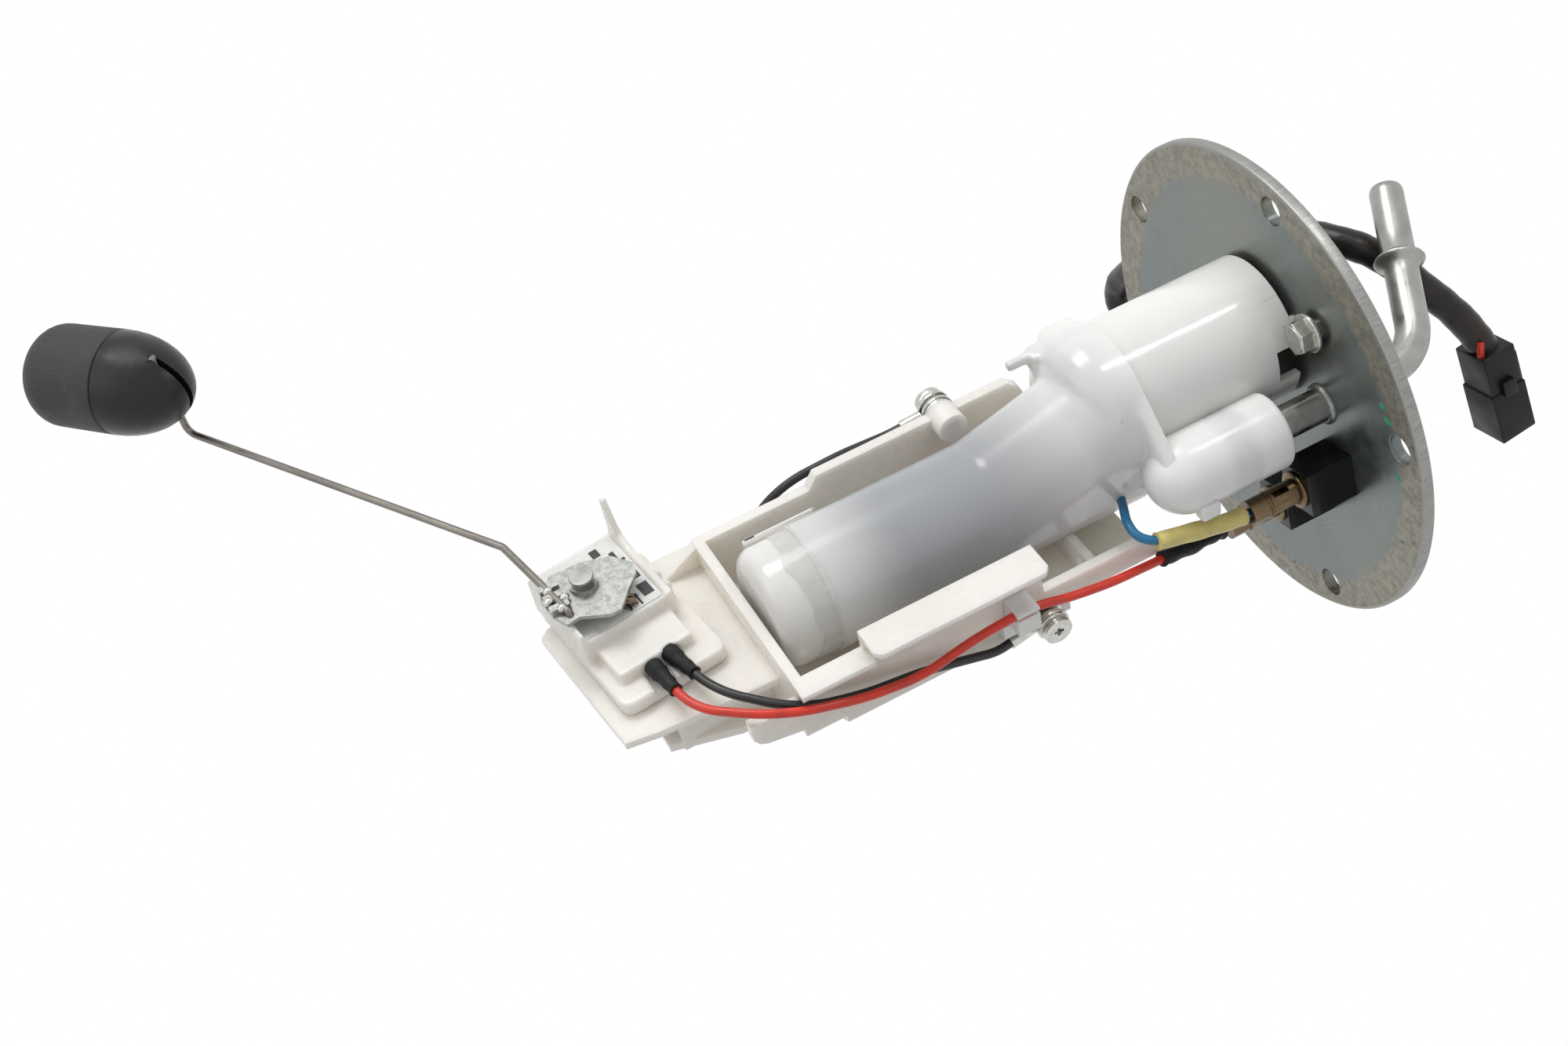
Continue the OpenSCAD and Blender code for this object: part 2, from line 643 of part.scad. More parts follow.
module spring_washers() {
    color(steel) for (e = [[screw_a, 1], [screw_b, -1]]) at_screw(e[0], e[1]) difference() {
        translate([0, 0, 1.6]) cylinder(r = 3.4, h = 1);
        translate([0, 0, 1]) cylinder(r = 1.9, h = 3);
        rotate(-20) translate([1, -0.3, 1]) cube([4, 0.6, 3]);
    }
}
module ring_terminal(p, s, z, tip) {
    color(bright) difference() {
        union() {
            at_screw(p, s) translate([0, 0, z]) cylinder(r = 4, h = 0.8);
            rod(crimp_at(p, s, z, tip), tip, 1.5);
        }
        rod(lead_end(p, s, z, tip), tip + lead_way(p, s, z, tip), lead_r + slip);
        at_screw(p, s) translate([0, 0, z - 3]) cylinder(r = 1.9, h = 8);
        at_screw(p, s) translate([0, 0, z + 0.8]) cylinder(r = 4.1, h = 4);
        at_screw(p, s) translate([0, 0, z - 3]) cylinder(r = 7, h = 3);
    }
}
// where a crimp starts on its ring, and where the lead in it ends
function crimp_at(p, s, z, tip) = [p[0] + s*(z + 0.4), p[1], p[2]] + 3.2*unit(tip - p);
function lead_way(p, s, z, tip) = unit(tip - crimp_at(p, s, z, tip));
function lead_end(p, s, z, tip) = tip - 1.6*lead_way(p, s, z, tip);
crimp_a = [tray_x + 2.9, -8.2, 80];
crimp_b = [-tray_x - 2, 9, 87];
module ring_terminals() {
    ring_terminal(screw_a, 1, 0.8, crimp_a);
    ring_terminal(screw_b, -1, 0, crimp_b);
    color(bright) at_screw(screw_a, 1) difference() {
        cylinder(r = 3.6, h = 0.8);
        translate([0, 0, -1]) cylinder(r = 1.9, h = 3);
    }
}

// wires bent round true arcs, each straight run reaching a little way into the next arc
lap = 0.06;
function turn_at(p, i) = acos(max(-1, min(1, unit(p[i] - p[i - 1])*unit(p[i + 1] - p[i]))));
function bend_at(p, b, i) = i == 0 || i == len(p) - 1 ? 0 :
    min(b, 0.49*min(norm(p[i] - p[i - 1]), norm(p[i + 1] - p[i]))/tan(turn_at(p, i)/2));
function trim_at(p, b, i) = i == 0 || i == len(p) - 1 ? 0 : bend_at(p, b, i)*tan(turn_at(p, i)/2);
module bent(p, b, r) {
    last = len(p) - 1;
    for (i = [0:last - 1]) {
        d = unit(p[i + 1] - p[i]);
        s = i == 0 ? 0 : trim_at(p, b, i) - lap;
        e = i == last - 1 ? 0 : trim_at(p, b, i + 1) - lap;
        rod(p[i] + s*d, p[i + 1] - e*d, r);
    }
    for (i = [1:last - 1]) {
        d = unit(p[i] - p[i - 1]);
        e = unit(p[i + 1] - p[i]);
        m = unit(e - (e*d)*d);
        n = cross(d, m);
        q = bend_at(p, b, i);
        c = p[i] - trim_at(p, b, i)*d + q*m;
        multmatrix([[-m[0], d[0], n[0], c[0]], [-m[1], d[1], n[1], c[1]], [-m[2], d[2], n[2], c[2]],
            [0, 0, 0, 1]]) rotate_extrude(angle = turn_at(p, i)) translate([q, 0]) circle(r - 0.005);
    }
}
lead_r = lead_d/2;
lead_x = -31;
boot_a = [-10.3, -6, 158.3];
boot_b = [-8.3, -6, 152.8];
pin_a = [-0.9, -6, 159.7];
pin_b = [0.8, -6, 155];
red_route = [[ins2[0], ins2[1], 21], [ins2[0], ins2[1], 27], [-23.6, 14, 31], [-28.8, 6.6, 47], [lead_x, 3, 62],
    [lead_x, 0.8, 73], [lead_x, -1.8, 80.5], [lead_x, -1.8, 88.5], [lead_x, -0.8, 98], [lead_x, 2.2, 110],
    [lead_x - 0.5, -0.9, 124.1], [-30, -6, 142.2], boot_a + (boot_a - pin_a)*0.75, pin_a + (boot_a - pin_a)*0.4];
black_route = [lead_end(screw_b, -1, 0, crimp_b), crimp_b + 3.5*lead_way(screw_b, -1, 0, crimp_b),
    [-28.7, 6.7, 99], [-28.5, 4, 108.4], [-28.8, 1.4, 122.7], [-29.05, -4.3, 137.8],
    boot_b + (boot_b - pin_b)*0.8, pin_b + (boot_b - pin_b)*0.4];
back_route = [lead_end(screw_a, 1, 0.8, crimp_a), crimp_a + 3.5*lead_way(screw_a, 1, 0.8, crimp_a),
    [30, -8.2, 96], [30, -7.6, 110], [30, -3, 119], [29.5, 6, 124],
    [27, 17.8, 124], [12, 17.8, 116], [0, 17.8, 108], can_tap + [0, 9.5, 0], can_tap];
blue_route = [[ins1[0], ins1[1], 21], [ins1[0], ins1[1], 26], [-31.2, 2, 33], [-30.2, -1.6, 49],
    [-27.8, -3.2, 52.6], [-23.5, -4.2, 52.4], [-18.5, -3, 50], [-14.2, -1.4, 48]];
module red_lead() {
    color(red) bent(red_route, 60, lead_r);
}
module black_lead() {
    color(black_plastic) bent(black_route, 60, lead_r);
}
module ground_lead() {
    color(black_plastic) bent(back_route, 60, lead_r);
}
module blue_lead() {
    color(blue) bent(blue_route, 60, lead_r);
}

// gap between a lead and the sleeve, boot or clip round it
slip = 0.03;
module yellow_sleeve() {
    color(yellow) difference() {
        rod(blue_route[2], blue_route[3], 1.75);
        bent([for (i = [1:4]) blue_route[i]], 60, lead_r + slip);
    }
}
module black_sleeve() {
    color(black_plastic) difference() {
        rod(red_route[2], red_route[3], 1.6);
        bent([for (i = [1:4]) red_route[i]], 60, lead_r + slip);
    }
}
module cable_clip() {
    color(nylon) difference() {
        union() {
            span([lead_x - 1.8, -3.2, 80.8], [-tray_x, 3.4, 86.4]);
            span([-tray_x - 2.4, 3, 82], [-tray_x, 6.8, 88.2]);
        }
        bent([for (i = [5:8]) red_route[i]], 60, lead_r + slip);
        span([lead_x - 4, -2.3, 80], [lead_x, -1.3, 90]);
    }
}
module boot(tip, start) {
    difference() {
        union() {
            rod(start, start + (tip - start)*0.45, 2.3);
            rod(start + (tip - start)*0.4, tip, 1.9);
        }
        rod(start + (tip - start)*0.3, tip + (tip - start), lead_r + slip);
    }
}
module terminal_boots() {
    color(black_plastic) {
        boot(boot_a, pin_a);
        boot(boot_b, pin_b);
    }
}

// level sender
module on_card() {
    translate([23, 0, 164.3]) rotate([0, -sender_turn, 0]) children();
}
module at_pivot(y) {
    translate([pivot[0], y, pivot[2]]) rotate([90, 0, 0]) children();
}
pin_r = pin_d/2;
boss_y = wiper_y - 1;
module sender_housing() {
    color(nylon) difference() {
        union() {
            on_card() {
                span([-27, -5, -18], [8, plate_y, 9]);
                span([-30, -5, -15], [5, plate_y, 6]);
                for (e = [[-27, -15], [-27, 6], [5, 6], [5, -15]]) translate([e[0], plate_y, e[1]])
                    rotate([90, 0, 0]) cylinder(r = 3, h = 4);
                span([-13.9, card_y - 0.05, -14], [12.2, plate_y, 8.8]);
                span([-24, -8, -13], [-13, -4, 6]);
                span([-13.9, wiper_y + 0.8, 7.6], [-3.6, -11, 8.8]);
                translate([0, 0, -15]) rotate([0, 0, 0]) linear_extrude(1.6) polygon([[-13.9, -1],
                    [12.8, -1], [12.8, -22], [11.6, -22], [8, -13.2], [4, -12], [-13.9, -12]]);
                for (x = [-10, -5.5]) span([x, -10.5, -16.6], [x + 1.2, -3, -14]);
            }
            at_pivot(card_y + 0.7) cylinder(r = 3.4, h = 0.2);
        }
        on_card() span([-12.7, -13, -12.8], [11.2, card_y + 0.7, 7.6]);
        at_pivot(-4) cylinder(r = pin_r, h = 10);
        rod([-4, -6, 159.25], [3, -6, 160.3], 1);
        rod([-2.6, -6, 154.2], [5, -6, 155.9], 1);
        rod(pin_a, boot_a, 2.32);
        rod(pin_b, boot_b, 2.32);
        span([-7.2, -5.2, 156.4], [-0.4, -3.6, 162]);
    }
}
module resistor_card() {
    color([0.9, 0.9, 0.88]) difference() {
        on_card() span([-12.7, card_y, -12.8], [11.2, card_y + 0.7, 7.6]);
        at_pivot(card_y + 1) cylinder(r = pin_r, h = 2);
    }
}
module card_pads() {
    color([0.3, 0.3, 0.32]) on_card() for (x = [-4.6, -10.6]) span([x, card_y - 0.12, -12], [x + 4, card_y, -9.4]);
}
module pivot_pin() {
    color(steel) {
        at_pivot(-4) cylinder(r = pin_r, h = -boss_y + 2.6 - 4);
        at_pivot(boss_y - 2.6) cylinder(r = pin_r + 0.8, h = 0.8);
    }
}
module wiper_plate() {
    color(zinc) difference() {
        union() {
            slab([[22, 174.8], [27.5, 170.5], [27.5, 162.7], [25, 156], [20.3, 152.6], [17.3, 153.2],
                [12.5, 157.6], [9, 160.5], [9, 163], [12.4, 169.2], [11.8, 172.3], [16, 174.2]], boss_y, wiper_y);
            at_pivot(wiper_y + 1.6) cylinder(r = 3.3, h = 3.9);
            for (e = [[16.6, 172.6, 0], [20.2, 173.3, 0], [23.4, 173.4, 0]])
                span([e[0] - 0.9, boss_y - 1.6, 169.6], [e[0] + 0.9, boss_y + 0.5, 174.2]);
        }
        at_pivot(wiper_y + 3) cylinder(r = pin_r + run_gap, h = 8);
        bent(arm_route, 6, arm_r);
    }
}
module wiper_contacts() {
    color(bronze) on_card() for (x = [-11.9, -9.3]) {
        span([x, wiper_y, -3.6], [x + 1.8, wiper_y + 0.4, 0.6]);
        translate([x, wiper_y, -3.6]) rotate([38, 0, 0]) translate([0, 0, -4.6]) cube([1.8, 0.4, 4.6]);
    }
}
arm_r = arm_d/2;
arm_route = [[14.1, wiper_y + 0.4, 170.7], [14.1, arm_y, 170.7], bend1, bend2, [bend2[0], -42, bend2[2]]];
module float_arm() {
    color(steel) bent(arm_route, 2.6, arm_r);
}

// float, turned about the wire end
module in_float() {
    translate([bend2[0], float_y, bend2[2]]) rotate([0, 90 - atan2(float_u[2], float_u[0]), 0]) children();
}
float_r = float_d/2;
function bulge(r, l, s) = [for (i = [0:12]) [r*cos(i*7.5), s*l*sin(i*7.5)]];
module float_body() {
    color([0.12, 0.12, 0.12]) in_float() translate([0, 0, seam_at])
        rotate_extrude() polygon(concat([[0, 0.3], [float_r - 0.5, 0.3], [float_r, 0.8]],
            [for (e = bulge(float_r - 0.2, 9.5, 1)) [e[0], e[1] + float_l]]));
}
module float_cap() {
    color(black_plastic) in_float() difference() {
        translate([0, 0, seam_at]) rotate_extrude() polygon(concat([[0, 0.3], [float_r - 3, 0.3]],
            [[float_r - 0.4, 0.3], [float_r, -0.1]], bulge(float_r, 19, -1)));
        rotate([90, 0, 0]) translate([0, 0, -20]) cylinder(r = arm_r + run_gap, h = 40 - 8.7);
        span([-0.8, -20, -20], [0.8, 20, 0]);
        span([-0.8, -11.3, -0.5], [0.8, 20, 0]);
    }
}

flange_plate();
outlet_pipe();
pipe_weld();
terminal_insulators();
terminals();
cable_grommet();
harness_cable();
connector();
connector_terminals();
strainer_cover();
flange_bolt();
strainer();
pump_shell();
end_cap();
cap_collar();
pump_can();
inlet_casing();
outlet_casing();
impeller();
magnets();
rotor();
brush_holder();
brushes();
check_valve();
outlet_housing();
outlet_o_ring();
regulator_body();
regulator_valve();
regulator_spring();
tray();
ground_screws();
spring_washers();
ring_terminals();
red_lead();
black_lead();
ground_lead();
blue_lead();
yellow_sleeve();
black_sleeve();
cable_clip();
terminal_boots();
sender_housing();
resistor_card();
card_pads();
pivot_pin();
wiper_plate();
wiper_contacts();
float_arm();
float_body();
float_cap();
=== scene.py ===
"""In-tank fuel pump with strainer, outlet, harness and float level sender, dressed over its CAD frame."""

import math

import bmesh
import bpy
from bpy.props import FloatProperty, FloatVectorProperty, IntProperty, PointerProperty
from mathutils import Matrix, Vector, noise


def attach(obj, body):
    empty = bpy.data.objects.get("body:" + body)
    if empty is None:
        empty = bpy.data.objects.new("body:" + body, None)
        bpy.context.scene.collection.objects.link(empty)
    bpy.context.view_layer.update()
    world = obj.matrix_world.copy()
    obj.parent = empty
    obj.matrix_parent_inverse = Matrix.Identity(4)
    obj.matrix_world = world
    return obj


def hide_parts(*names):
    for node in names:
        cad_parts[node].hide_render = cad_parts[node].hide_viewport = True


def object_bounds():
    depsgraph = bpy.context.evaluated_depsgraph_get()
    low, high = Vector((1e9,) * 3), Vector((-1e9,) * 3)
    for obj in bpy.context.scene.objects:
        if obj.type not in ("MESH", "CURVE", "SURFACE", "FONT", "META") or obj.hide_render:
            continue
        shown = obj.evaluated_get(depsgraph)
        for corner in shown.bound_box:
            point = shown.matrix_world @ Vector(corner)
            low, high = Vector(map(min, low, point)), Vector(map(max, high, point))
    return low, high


bl_info = {
    "name": "Fuel pump dressing",
    "version": (1, 0, 0),
    "blender": (4, 5, 0),
    "location": "3D View > Sidebar > Fuel pump",
    "description": "Builds the visible pieces, finishes, lights and camera of an in-tank fuel pump",
    "category": "Object",
}

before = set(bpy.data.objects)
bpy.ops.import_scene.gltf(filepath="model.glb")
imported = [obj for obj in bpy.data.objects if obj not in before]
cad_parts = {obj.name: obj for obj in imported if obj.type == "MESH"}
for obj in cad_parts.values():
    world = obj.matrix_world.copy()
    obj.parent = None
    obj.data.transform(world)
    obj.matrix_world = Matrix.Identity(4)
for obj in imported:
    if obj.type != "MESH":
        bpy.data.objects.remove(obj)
CAD_BOX = [list(corner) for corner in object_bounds()]


# Sizes and colours, which the sidebar shows

def linear(red, green, blue):
    """A screen colour from 0 to 255, as the linear colour that a shader takes."""
    parts = [c / 255 for c in (red, green, blue)]
    return tuple(c / 12.92 if c <= 0.04045 else ((c + 0.055) / 1.055) ** 2.4 for c in parts) + (1.0,)


def colour_prop(name, description, default):
    return FloatVectorProperty(name=name, description=description, subtype="COLOR", size=4,
                               min=0.0, max=1.0, default=linear(*default))


def length_prop(name, description, default):
    return FloatProperty(name=name, description=description, subtype="DISTANCE", unit="LENGTH",
                         default=default, min=0.0)


class PumpSizes(bpy.types.PropertyGroup):
    """Sizes of the visible details, in metres"""
    moulded_edge: length_prop("Moulded edge", "Edge radius on the nylon mouldings", 0.0006)
    pressed_edge: length_prop("Pressed edge", "Edge radius on pressed and turned metal", 0.00018)
    shell_voxel: length_prop("Shell voxel", "Cell size used to blend the pump shell into its collar", 0.0006)
    shell_blend: IntProperty(name="Shell blend", description="Smoothing passes on the pump shell",
                             default=9, min=0, max=60)
    band_wave: length_prop("Band wave", "How far the edge of the sealing film on the cap wanders", 0.0012)
    track_width: length_prop("Track width", "Width of one resistor track on the sender card", 0.00016)
    bead_radius: length_prop("Bead radius", "Outside radius of the stop bead on the outlet pipe", 0.006)


class PumpColours(bpy.types.PropertyGroup):
    """Colours of the finishes"""
    nylon: colour_prop("Nylon", "Natural nylon of cover, outlet and tray", (234, 233, 230))
    tray: colour_prop("Tray nylon", "Warmer nylon of the tray and the sender housing", (241, 236, 228))
    can: colour_prop("Can through nylon", "Where the grey pump can shows through the shell", (158, 160, 163))
    zinc: colour_prop("Zinc", "Plated flange", (112, 120, 119))
    gasket: colour_prop("Gasket stain", "Ring that the gasket left on the flange", (150, 146, 133))
    red: colour_prop("Red lead", "Insulation of the sender feed", (222, 56, 36))
    blue: colour_prop("Blue lead", "Insulation of the pump feed", (28, 112, 158))
    yellow: colour_prop("Yellow sleeve", "Tubing over the blue lead", (226, 210, 130))


def sizes():
    return bpy.context.scene.pump_sizes


def colours():
    return bpy.context.scene.pump_colours


# Finishes: procedural materials in Object coordinates

def darker(colour, amount):
    return tuple(c * amount for c in colour[:3]) + (1.0,)


def shade(colour):
    """A colour by the name of its property, or from its screen values."""
    return tuple(getattr(colours(), colour)) if isinstance(colour, str) else linear(*colour)


class Finish:
    """A material under construction: a Principled shader and the textures that feed it."""

    def __init__(self, name, colour):
        self.material = bpy.data.materials.new(name)
        self.material.use_nodes = True
        self.material.diffuse_color = colour
        self.tree = self.material.node_tree
        self.shader = self.tree.nodes["Principled BSDF"]
        self.shader.inputs["Base Color"].default_value = colour
        self.shader.inputs["IOR"].default_value = 1.5
        self.place = self.add("ShaderNodeTexCoord").outputs["Object"]

    def add(self, kind, **settings):
        node = self.tree.nodes.new(kind)
        for key, value in settings.items():
            setattr(node, key, value)
        return node

    def feed(self, socket, value):
        """Links a socket to another one, or gives it a fixed value."""
        if isinstance(value, bpy.types.NodeSocket):
            self.tree.links.new(value, socket)
        else:
            socket.default_value = value

    def grain(self, scale, detail=3.0, roughness=0.55, vector=None, stretch=None):
        """Noise from 0 to 1; stretch squeezes it along an axis."""
        source = vector or self.place
        if stretch:
            mapping = self.add("ShaderNodeMapping")
            mapping.inputs["Scale"].default_value = stretch
            self.feed(mapping.inputs["Vector"], source)
            source = mapping.outputs["Vector"]
        node = self.add("ShaderNodeTexNoise")
        self.feed(node.inputs["Vector"], source)
        for key, value in (("Scale", scale), ("Detail", detail), ("Roughness", roughness)):
            node.inputs[key].default_value = value
        return node.outputs["Fac"]

    def span(self, value, low, high, to_low=0.0, to_high=1.0):
        """Maps the values from low to high onto another span, smoothly and clamped."""
        node = self.add("ShaderNodeMapRange", clamp=True, interpolation_type="SMOOTHSTEP")
        self.feed(node.inputs["Value"], value)
        for key, number in zip(("From Min", "From Max", "To Min", "To Max"), (low, high, to_low, to_high)):
            node.inputs[key].default_value = number
        return node.outputs["Result"]

    def combine(self, kind, a, b):
        """Two values in one Math node of a kind."""
        node = self.add("ShaderNodeMath", operation=kind)
        self.feed(node.inputs[0], a)
        self.feed(node.inputs[1], b)
        return node.outputs[0]

    def times(self, a, b):
        return self.combine("MULTIPLY", a, b)

    def mix(self, factor, a, b):
        node = self.add("ShaderNodeMix", data_type="RGBA")
        self.feed(node.inputs["Factor"], factor)
        self.feed(node.inputs[6], a)
        self.feed(node.inputs[7], b)
        return node.outputs[2]

    def height(self):
        node = self.add("ShaderNodeSeparateXYZ")
        self.feed(node.inputs[0], self.place)
        return node.outputs[2]

    def distance(self, centre, weights):
        """Distance from a point, in metres; a weight of 0 leaves an axis out."""
        value = self.place
        for kind, other in (("SUBTRACT", centre), ("MULTIPLY", weights), ("LENGTH", weights)):
            node = self.add("ShaderNodeVectorMath", operation=kind)
            self.feed(node.inputs[0], value)
            node.inputs[1].default_value = other
            value = node.outputs[0]
        return node.outputs["Value"]

    def colour(self, value):
        self.feed(self.shader.inputs["Base Color"], value)

    def roughness(self, value):
        self.feed(self.shader.inputs["Roughness"], value)

    def bump(self, height, strength, distance):
        node = self.add("ShaderNodeBump")
        node.inputs["Strength"].default_value = strength
        node.inputs["Distance"].default_value = distance
        self.feed(node.inputs["Height"], height)
        self.feed(self.shader.inputs["Normal"], node.outputs["Normal"])

    def metal(self, share):
        self.shader.inputs["Metallic"].default_value = share

    def dull(self, level):
        """Less shine than the shader's own, from 0 to 0.5."""
        self.shader.inputs["Specular IOR Level"].default_value = level

    def glow_through(self, weight, radius, scale=0.002):
        """Light that passes a little way into nylon."""
        for key, value in (("Weight", weight), ("Radius", radius), ("Scale", scale)):
            self.shader.inputs["Subsurface " + key].default_value = value


def nylon_finish(finish, colour, cloud, speck, shine, relief, glow):
    """Nylon with soft flow clouds and a few specks.

    speck is (scale, threshold, strength, tone), shine (scale, smoothest, roughest), relief
    (scale, detail, strength, distance) and glow (weight, radius, scale).
    """
    tone = finish.mix(finish.span(finish.grain(cloud, 2.0), 0.35, 0.7), darker(colour, 0.93), colour)
    specks = finish.span(finish.grain(speck[0], 1.0), speck[1], 0.84)
    finish.colour(finish.mix(finish.times(specks, speck[2]), tone, darker(colour, speck[3])))
    finish.roughness(finish.span(finish.grain(shine[0]), 0.3, 0.7, *shine[1:]))
    finish.bump(finish.grain(*relief[:2]), *relief[2:])
    finish.glow_through(*glow)


def mottled_finish(finish, colour, ends, noise_settings, tones, shine, relief, dull=0.5):
    """One noise moves the tone and the shine, and a finer one gives the relief.

    ends are the tone's two ends, each a factor on the colour or a screen colour; tones is the noise's
    span for them; shine is (from, to, smoothest, roughest), relief as in nylon_finish.
    """
    finish.dull(dull)
    spots = finish.grain(*noise_settings)
    shades = [darker(colour, end) if isinstance(end, float) else linear(*end) for end in ends]
    finish.colour(finish.mix(finish.span(spots, *tones), *shades))
    finish.roughness(finish.span(spots, *shine))
    finish.bump(finish.grain(*relief[:2]), *relief[2:])


def vinyl_finish(finish, colour, roughness=0.32):
    mottled_finish(finish, colour, (0.8, 1.0), (180.0, 3.0), (0.35, 0.7),
                   (0.3, 0.7, roughness - 0.05, roughness + 0.14), (900.0, 3.0, 0.08, 0.0002))


def gloss_black_finish(finish, colour, roughness=0.3):
    mottled_finish(finish, colour, (1.0, 1.35), (90.0, 3.0, 0.5), (0.5, 0.8),
                   (0.3, 0.75, roughness - 0.05, roughness + 0.18), (650.0, 3.0, 0.1, 0.0002), 0.3)


def shell_finish(finish, white):
    """Milky nylon: grey where the can lies close behind it, paler at the collar and the end."""
    height = finish.height()
    near_can = finish.times(finish.span(height, 0.046, 0.080), finish.span(height, 0.098, 0.1195, 1.0, 0.35))
    patches = finish.times(finish.span(finish.grain(38.0, 2.0), 0.38, 0.66),
                           finish.span(height, 0.040, 0.056, 0.1, 0.34))
    tone = finish.mix(finish.combine("MAXIMUM", near_can, patches), white, shade("can"))
    # Painted reflection: a thin dark line near the collar, the dark reflection of a gap painted into the
    # shell's colour.
    dark_reflection_line = finish.distance((-0.0125, -0.0172, 0.0625), (9.0, 1.0, 0.35))
    tone = finish.mix(finish.span(dark_reflection_line, 0.0012, 0.0022, 0.55, 0.0), tone, linear(92, 94, 98))
    specks = finish.span(finish.grain(620.0, 1.0), 0.80, 0.83)
    finish.colour(finish.mix(finish.times(specks, 0.4), tone, linear(110, 110, 112)))
    finish.roughness(finish.span(finish.grain(120.0, 2.0), 0.3, 0.7, 0.17, 0.27))
    finish.bump(finish.grain(60.0, 2.0), 0.08, 0.0012)
    finish.glow_through(0.2, (1.0, 0.95, 0.9))


def film_finish(finish, colour):
    """Clear sealing film shrunk over the joint of cap and shell."""
    wrinkle = finish.grain(160.0, 3.0, stretch=(1.0, 1.0, 0.4))
    finish.colour(finish.mix(finish.span(wrinkle, 0.35, 0.65), darker(colour, 0.86), colour))
    finish.roughness(finish.span(wrinkle, 0.3, 0.7, 0.08, 0.2))
    finish.bump(wrinkle, 0.5, 0.0007)
    finish.shader.inputs["Alpha"].default_value = 0.34


def cap_finish(finish, colour):
    """Nylon of the end cap, with the waves of its moulding."""
    flow = finish.grain(70.0, 2.0)
    finish.colour(finish.mix(finish.span(flow, 0.3, 0.7), darker(colour, 0.92), colour))
    finish.roughness(finish.span(finish.grain(200.0), 0.3, 0.7, 0.1, 0.18))
    finish.bump(flow, 0.35, 0.0012)
    finish.glow_through(0.3, (1.0, 0.93, 0.82))


def outlet_finish(finish, colour):
    """Nylon over the regulator: a soft grey band where the metal body sits inside."""
    height = finish.height()
    band = finish.combine("SUBTRACT", finish.span(height, 0.020, 0.0245), finish.span(height, 0.0265, 0.031))
    cloud = finish.span(finish.grain(90.0, 2.0), 0.3, 0.7, 0.45, 1.0)
    finish.colour(finish.mix(finish.times(finish.times(band, cloud), 0.42), colour, linear(150, 153, 158)))
    finish.roughness(finish.span(finish.grain(160.0), 0.3, 0.7, 0.24, 0.34))
    finish.bump(finish.grain(300.0, 3.0), 0.06, 0.0005)
    finish.glow_through(0.3, (1.0, 0.95, 0.88))


def flange_finish(finish, zinc):
    """Zinc plate with the gasket's stained ring, turning marks, smudges and a bright rim."""
    stain = shade("gasket")
    finish.metal(0.9)
    radius = finish.distance((0.0, 0.0, 0.0), (1.0, 1.0, 0.0))
    wander = finish.times(finish.combine("SUBTRACT", finish.grain(30.0, 6.0, 0.65), 0.5), 0.011)
    ring = finish.span(finish.combine("ADD", radius, wander), 0.0503, 0.0528)
    blotch = finish.grain(75.0, 5.0, 0.65)
    tone = finish.mix(finish.span(blotch, 0.35, 0.7), darker(zinc, 0.86), darker(zinc, 1.12))
    stained = finish.mix(finish.span(finish.grain(420.0, 6.0, 0.75), 0.40, 0.60), darker(stain, 0.6), stain)
    tone = finish.mix(finish.times(ring, 0.85), tone, stained)
    outward = finish.add("ShaderNodeCombineXYZ")
    finish.feed(outward.inputs[0], radius)
    turning = finish.grain(1500.0, 3.0, vector=outward.outputs[0])
    tone = finish.mix(finish.times(finish.span(turning, 0.45, 0.75), 0.10), tone, linear(190, 194, 194))
    dirt = finish.times(finish.span(finish.grain(260.0, 6.0, 0.8), 0.58, 0.66),
                        finish.span(radius, 0.047, 0.053))
    tone = finish.mix(finish.times(dirt, 0.8), tone, linear(66, 62, 56))
    warm = finish.span(finish.grain(13.0, 3.0), 0.42, 0.68)
    tone = finish.mix(finish.times(warm, 0.3), tone, linear(150, 146, 128))
    brushed = finish.span(finish.grain(5200.0, 2.0, stretch=(1.0, 1.0, 0.04)), 0.3, 0.7)
    edge = finish.mix(brushed, linear(136, 137, 133), linear(162, 163, 159))
    finish.colour(finish.mix(finish.span(radius, 0.0589, 0.0595), tone, edge))
    rough = finish.span(blotch, 0.3, 0.7, 0.26, 0.42)
    finish.roughness(finish.combine("ADD", rough, finish.times(ring, 0.12)))
    finish.bump(finish.combine("ADD", finish.times(turning, 0.5), finish.grain(420.0, 4.0)), 0.06, 0.0002)


def metal_finish(finish, colour, roughness=0.3, streak=(1.0, 1.0, 1.0), contrast=0.3, metallic=1.0):
    """Plated or bare metal with fine streaks and a few dull blotches."""
    finish.metal(metallic)
    line = finish.grain(700.0, 3.0, stretch=streak)
    blotch = finish.grain(160.0, 4.0, 0.65)
    tone = finish.mix(finish.span(line, 0.3, 0.7), darker(colour, 1 - contrast), colour)
    finish.colour(finish.mix(finish.span(blotch, 0.62, 0.78), tone, darker(colour, 0.7)))
    finish.roughness(finish.span(blotch, 0.3, 0.7, roughness - 0.07, roughness + 0.13))
    finish.bump(line, 0.04, 0.0002)


def plate_finish(finish, colour):
    """Tumbled zinc of the wiper plate: mottled, pitted, with dark nicks."""
    finish.metal(0.8)
    spangle = finish.grain(620.0, 6.0, 0.75)
    nick = finish.span(finish.grain(800.0, 4.0, 0.8), 0.60, 0.68)
    tone = finish.mix(finish.span(spangle, 0.36, 0.64), darker(colour, 0.74), darker(colour, 1.08))
    finish.colour(finish.mix(finish.times(nick, 0.6), tone, linear(92, 90, 84)))
    finish.roughness(finish.span(spangle, 0.3, 0.7, 0.28, 0.44))
    finish.bump(spangle, 0.08, 0.0002)


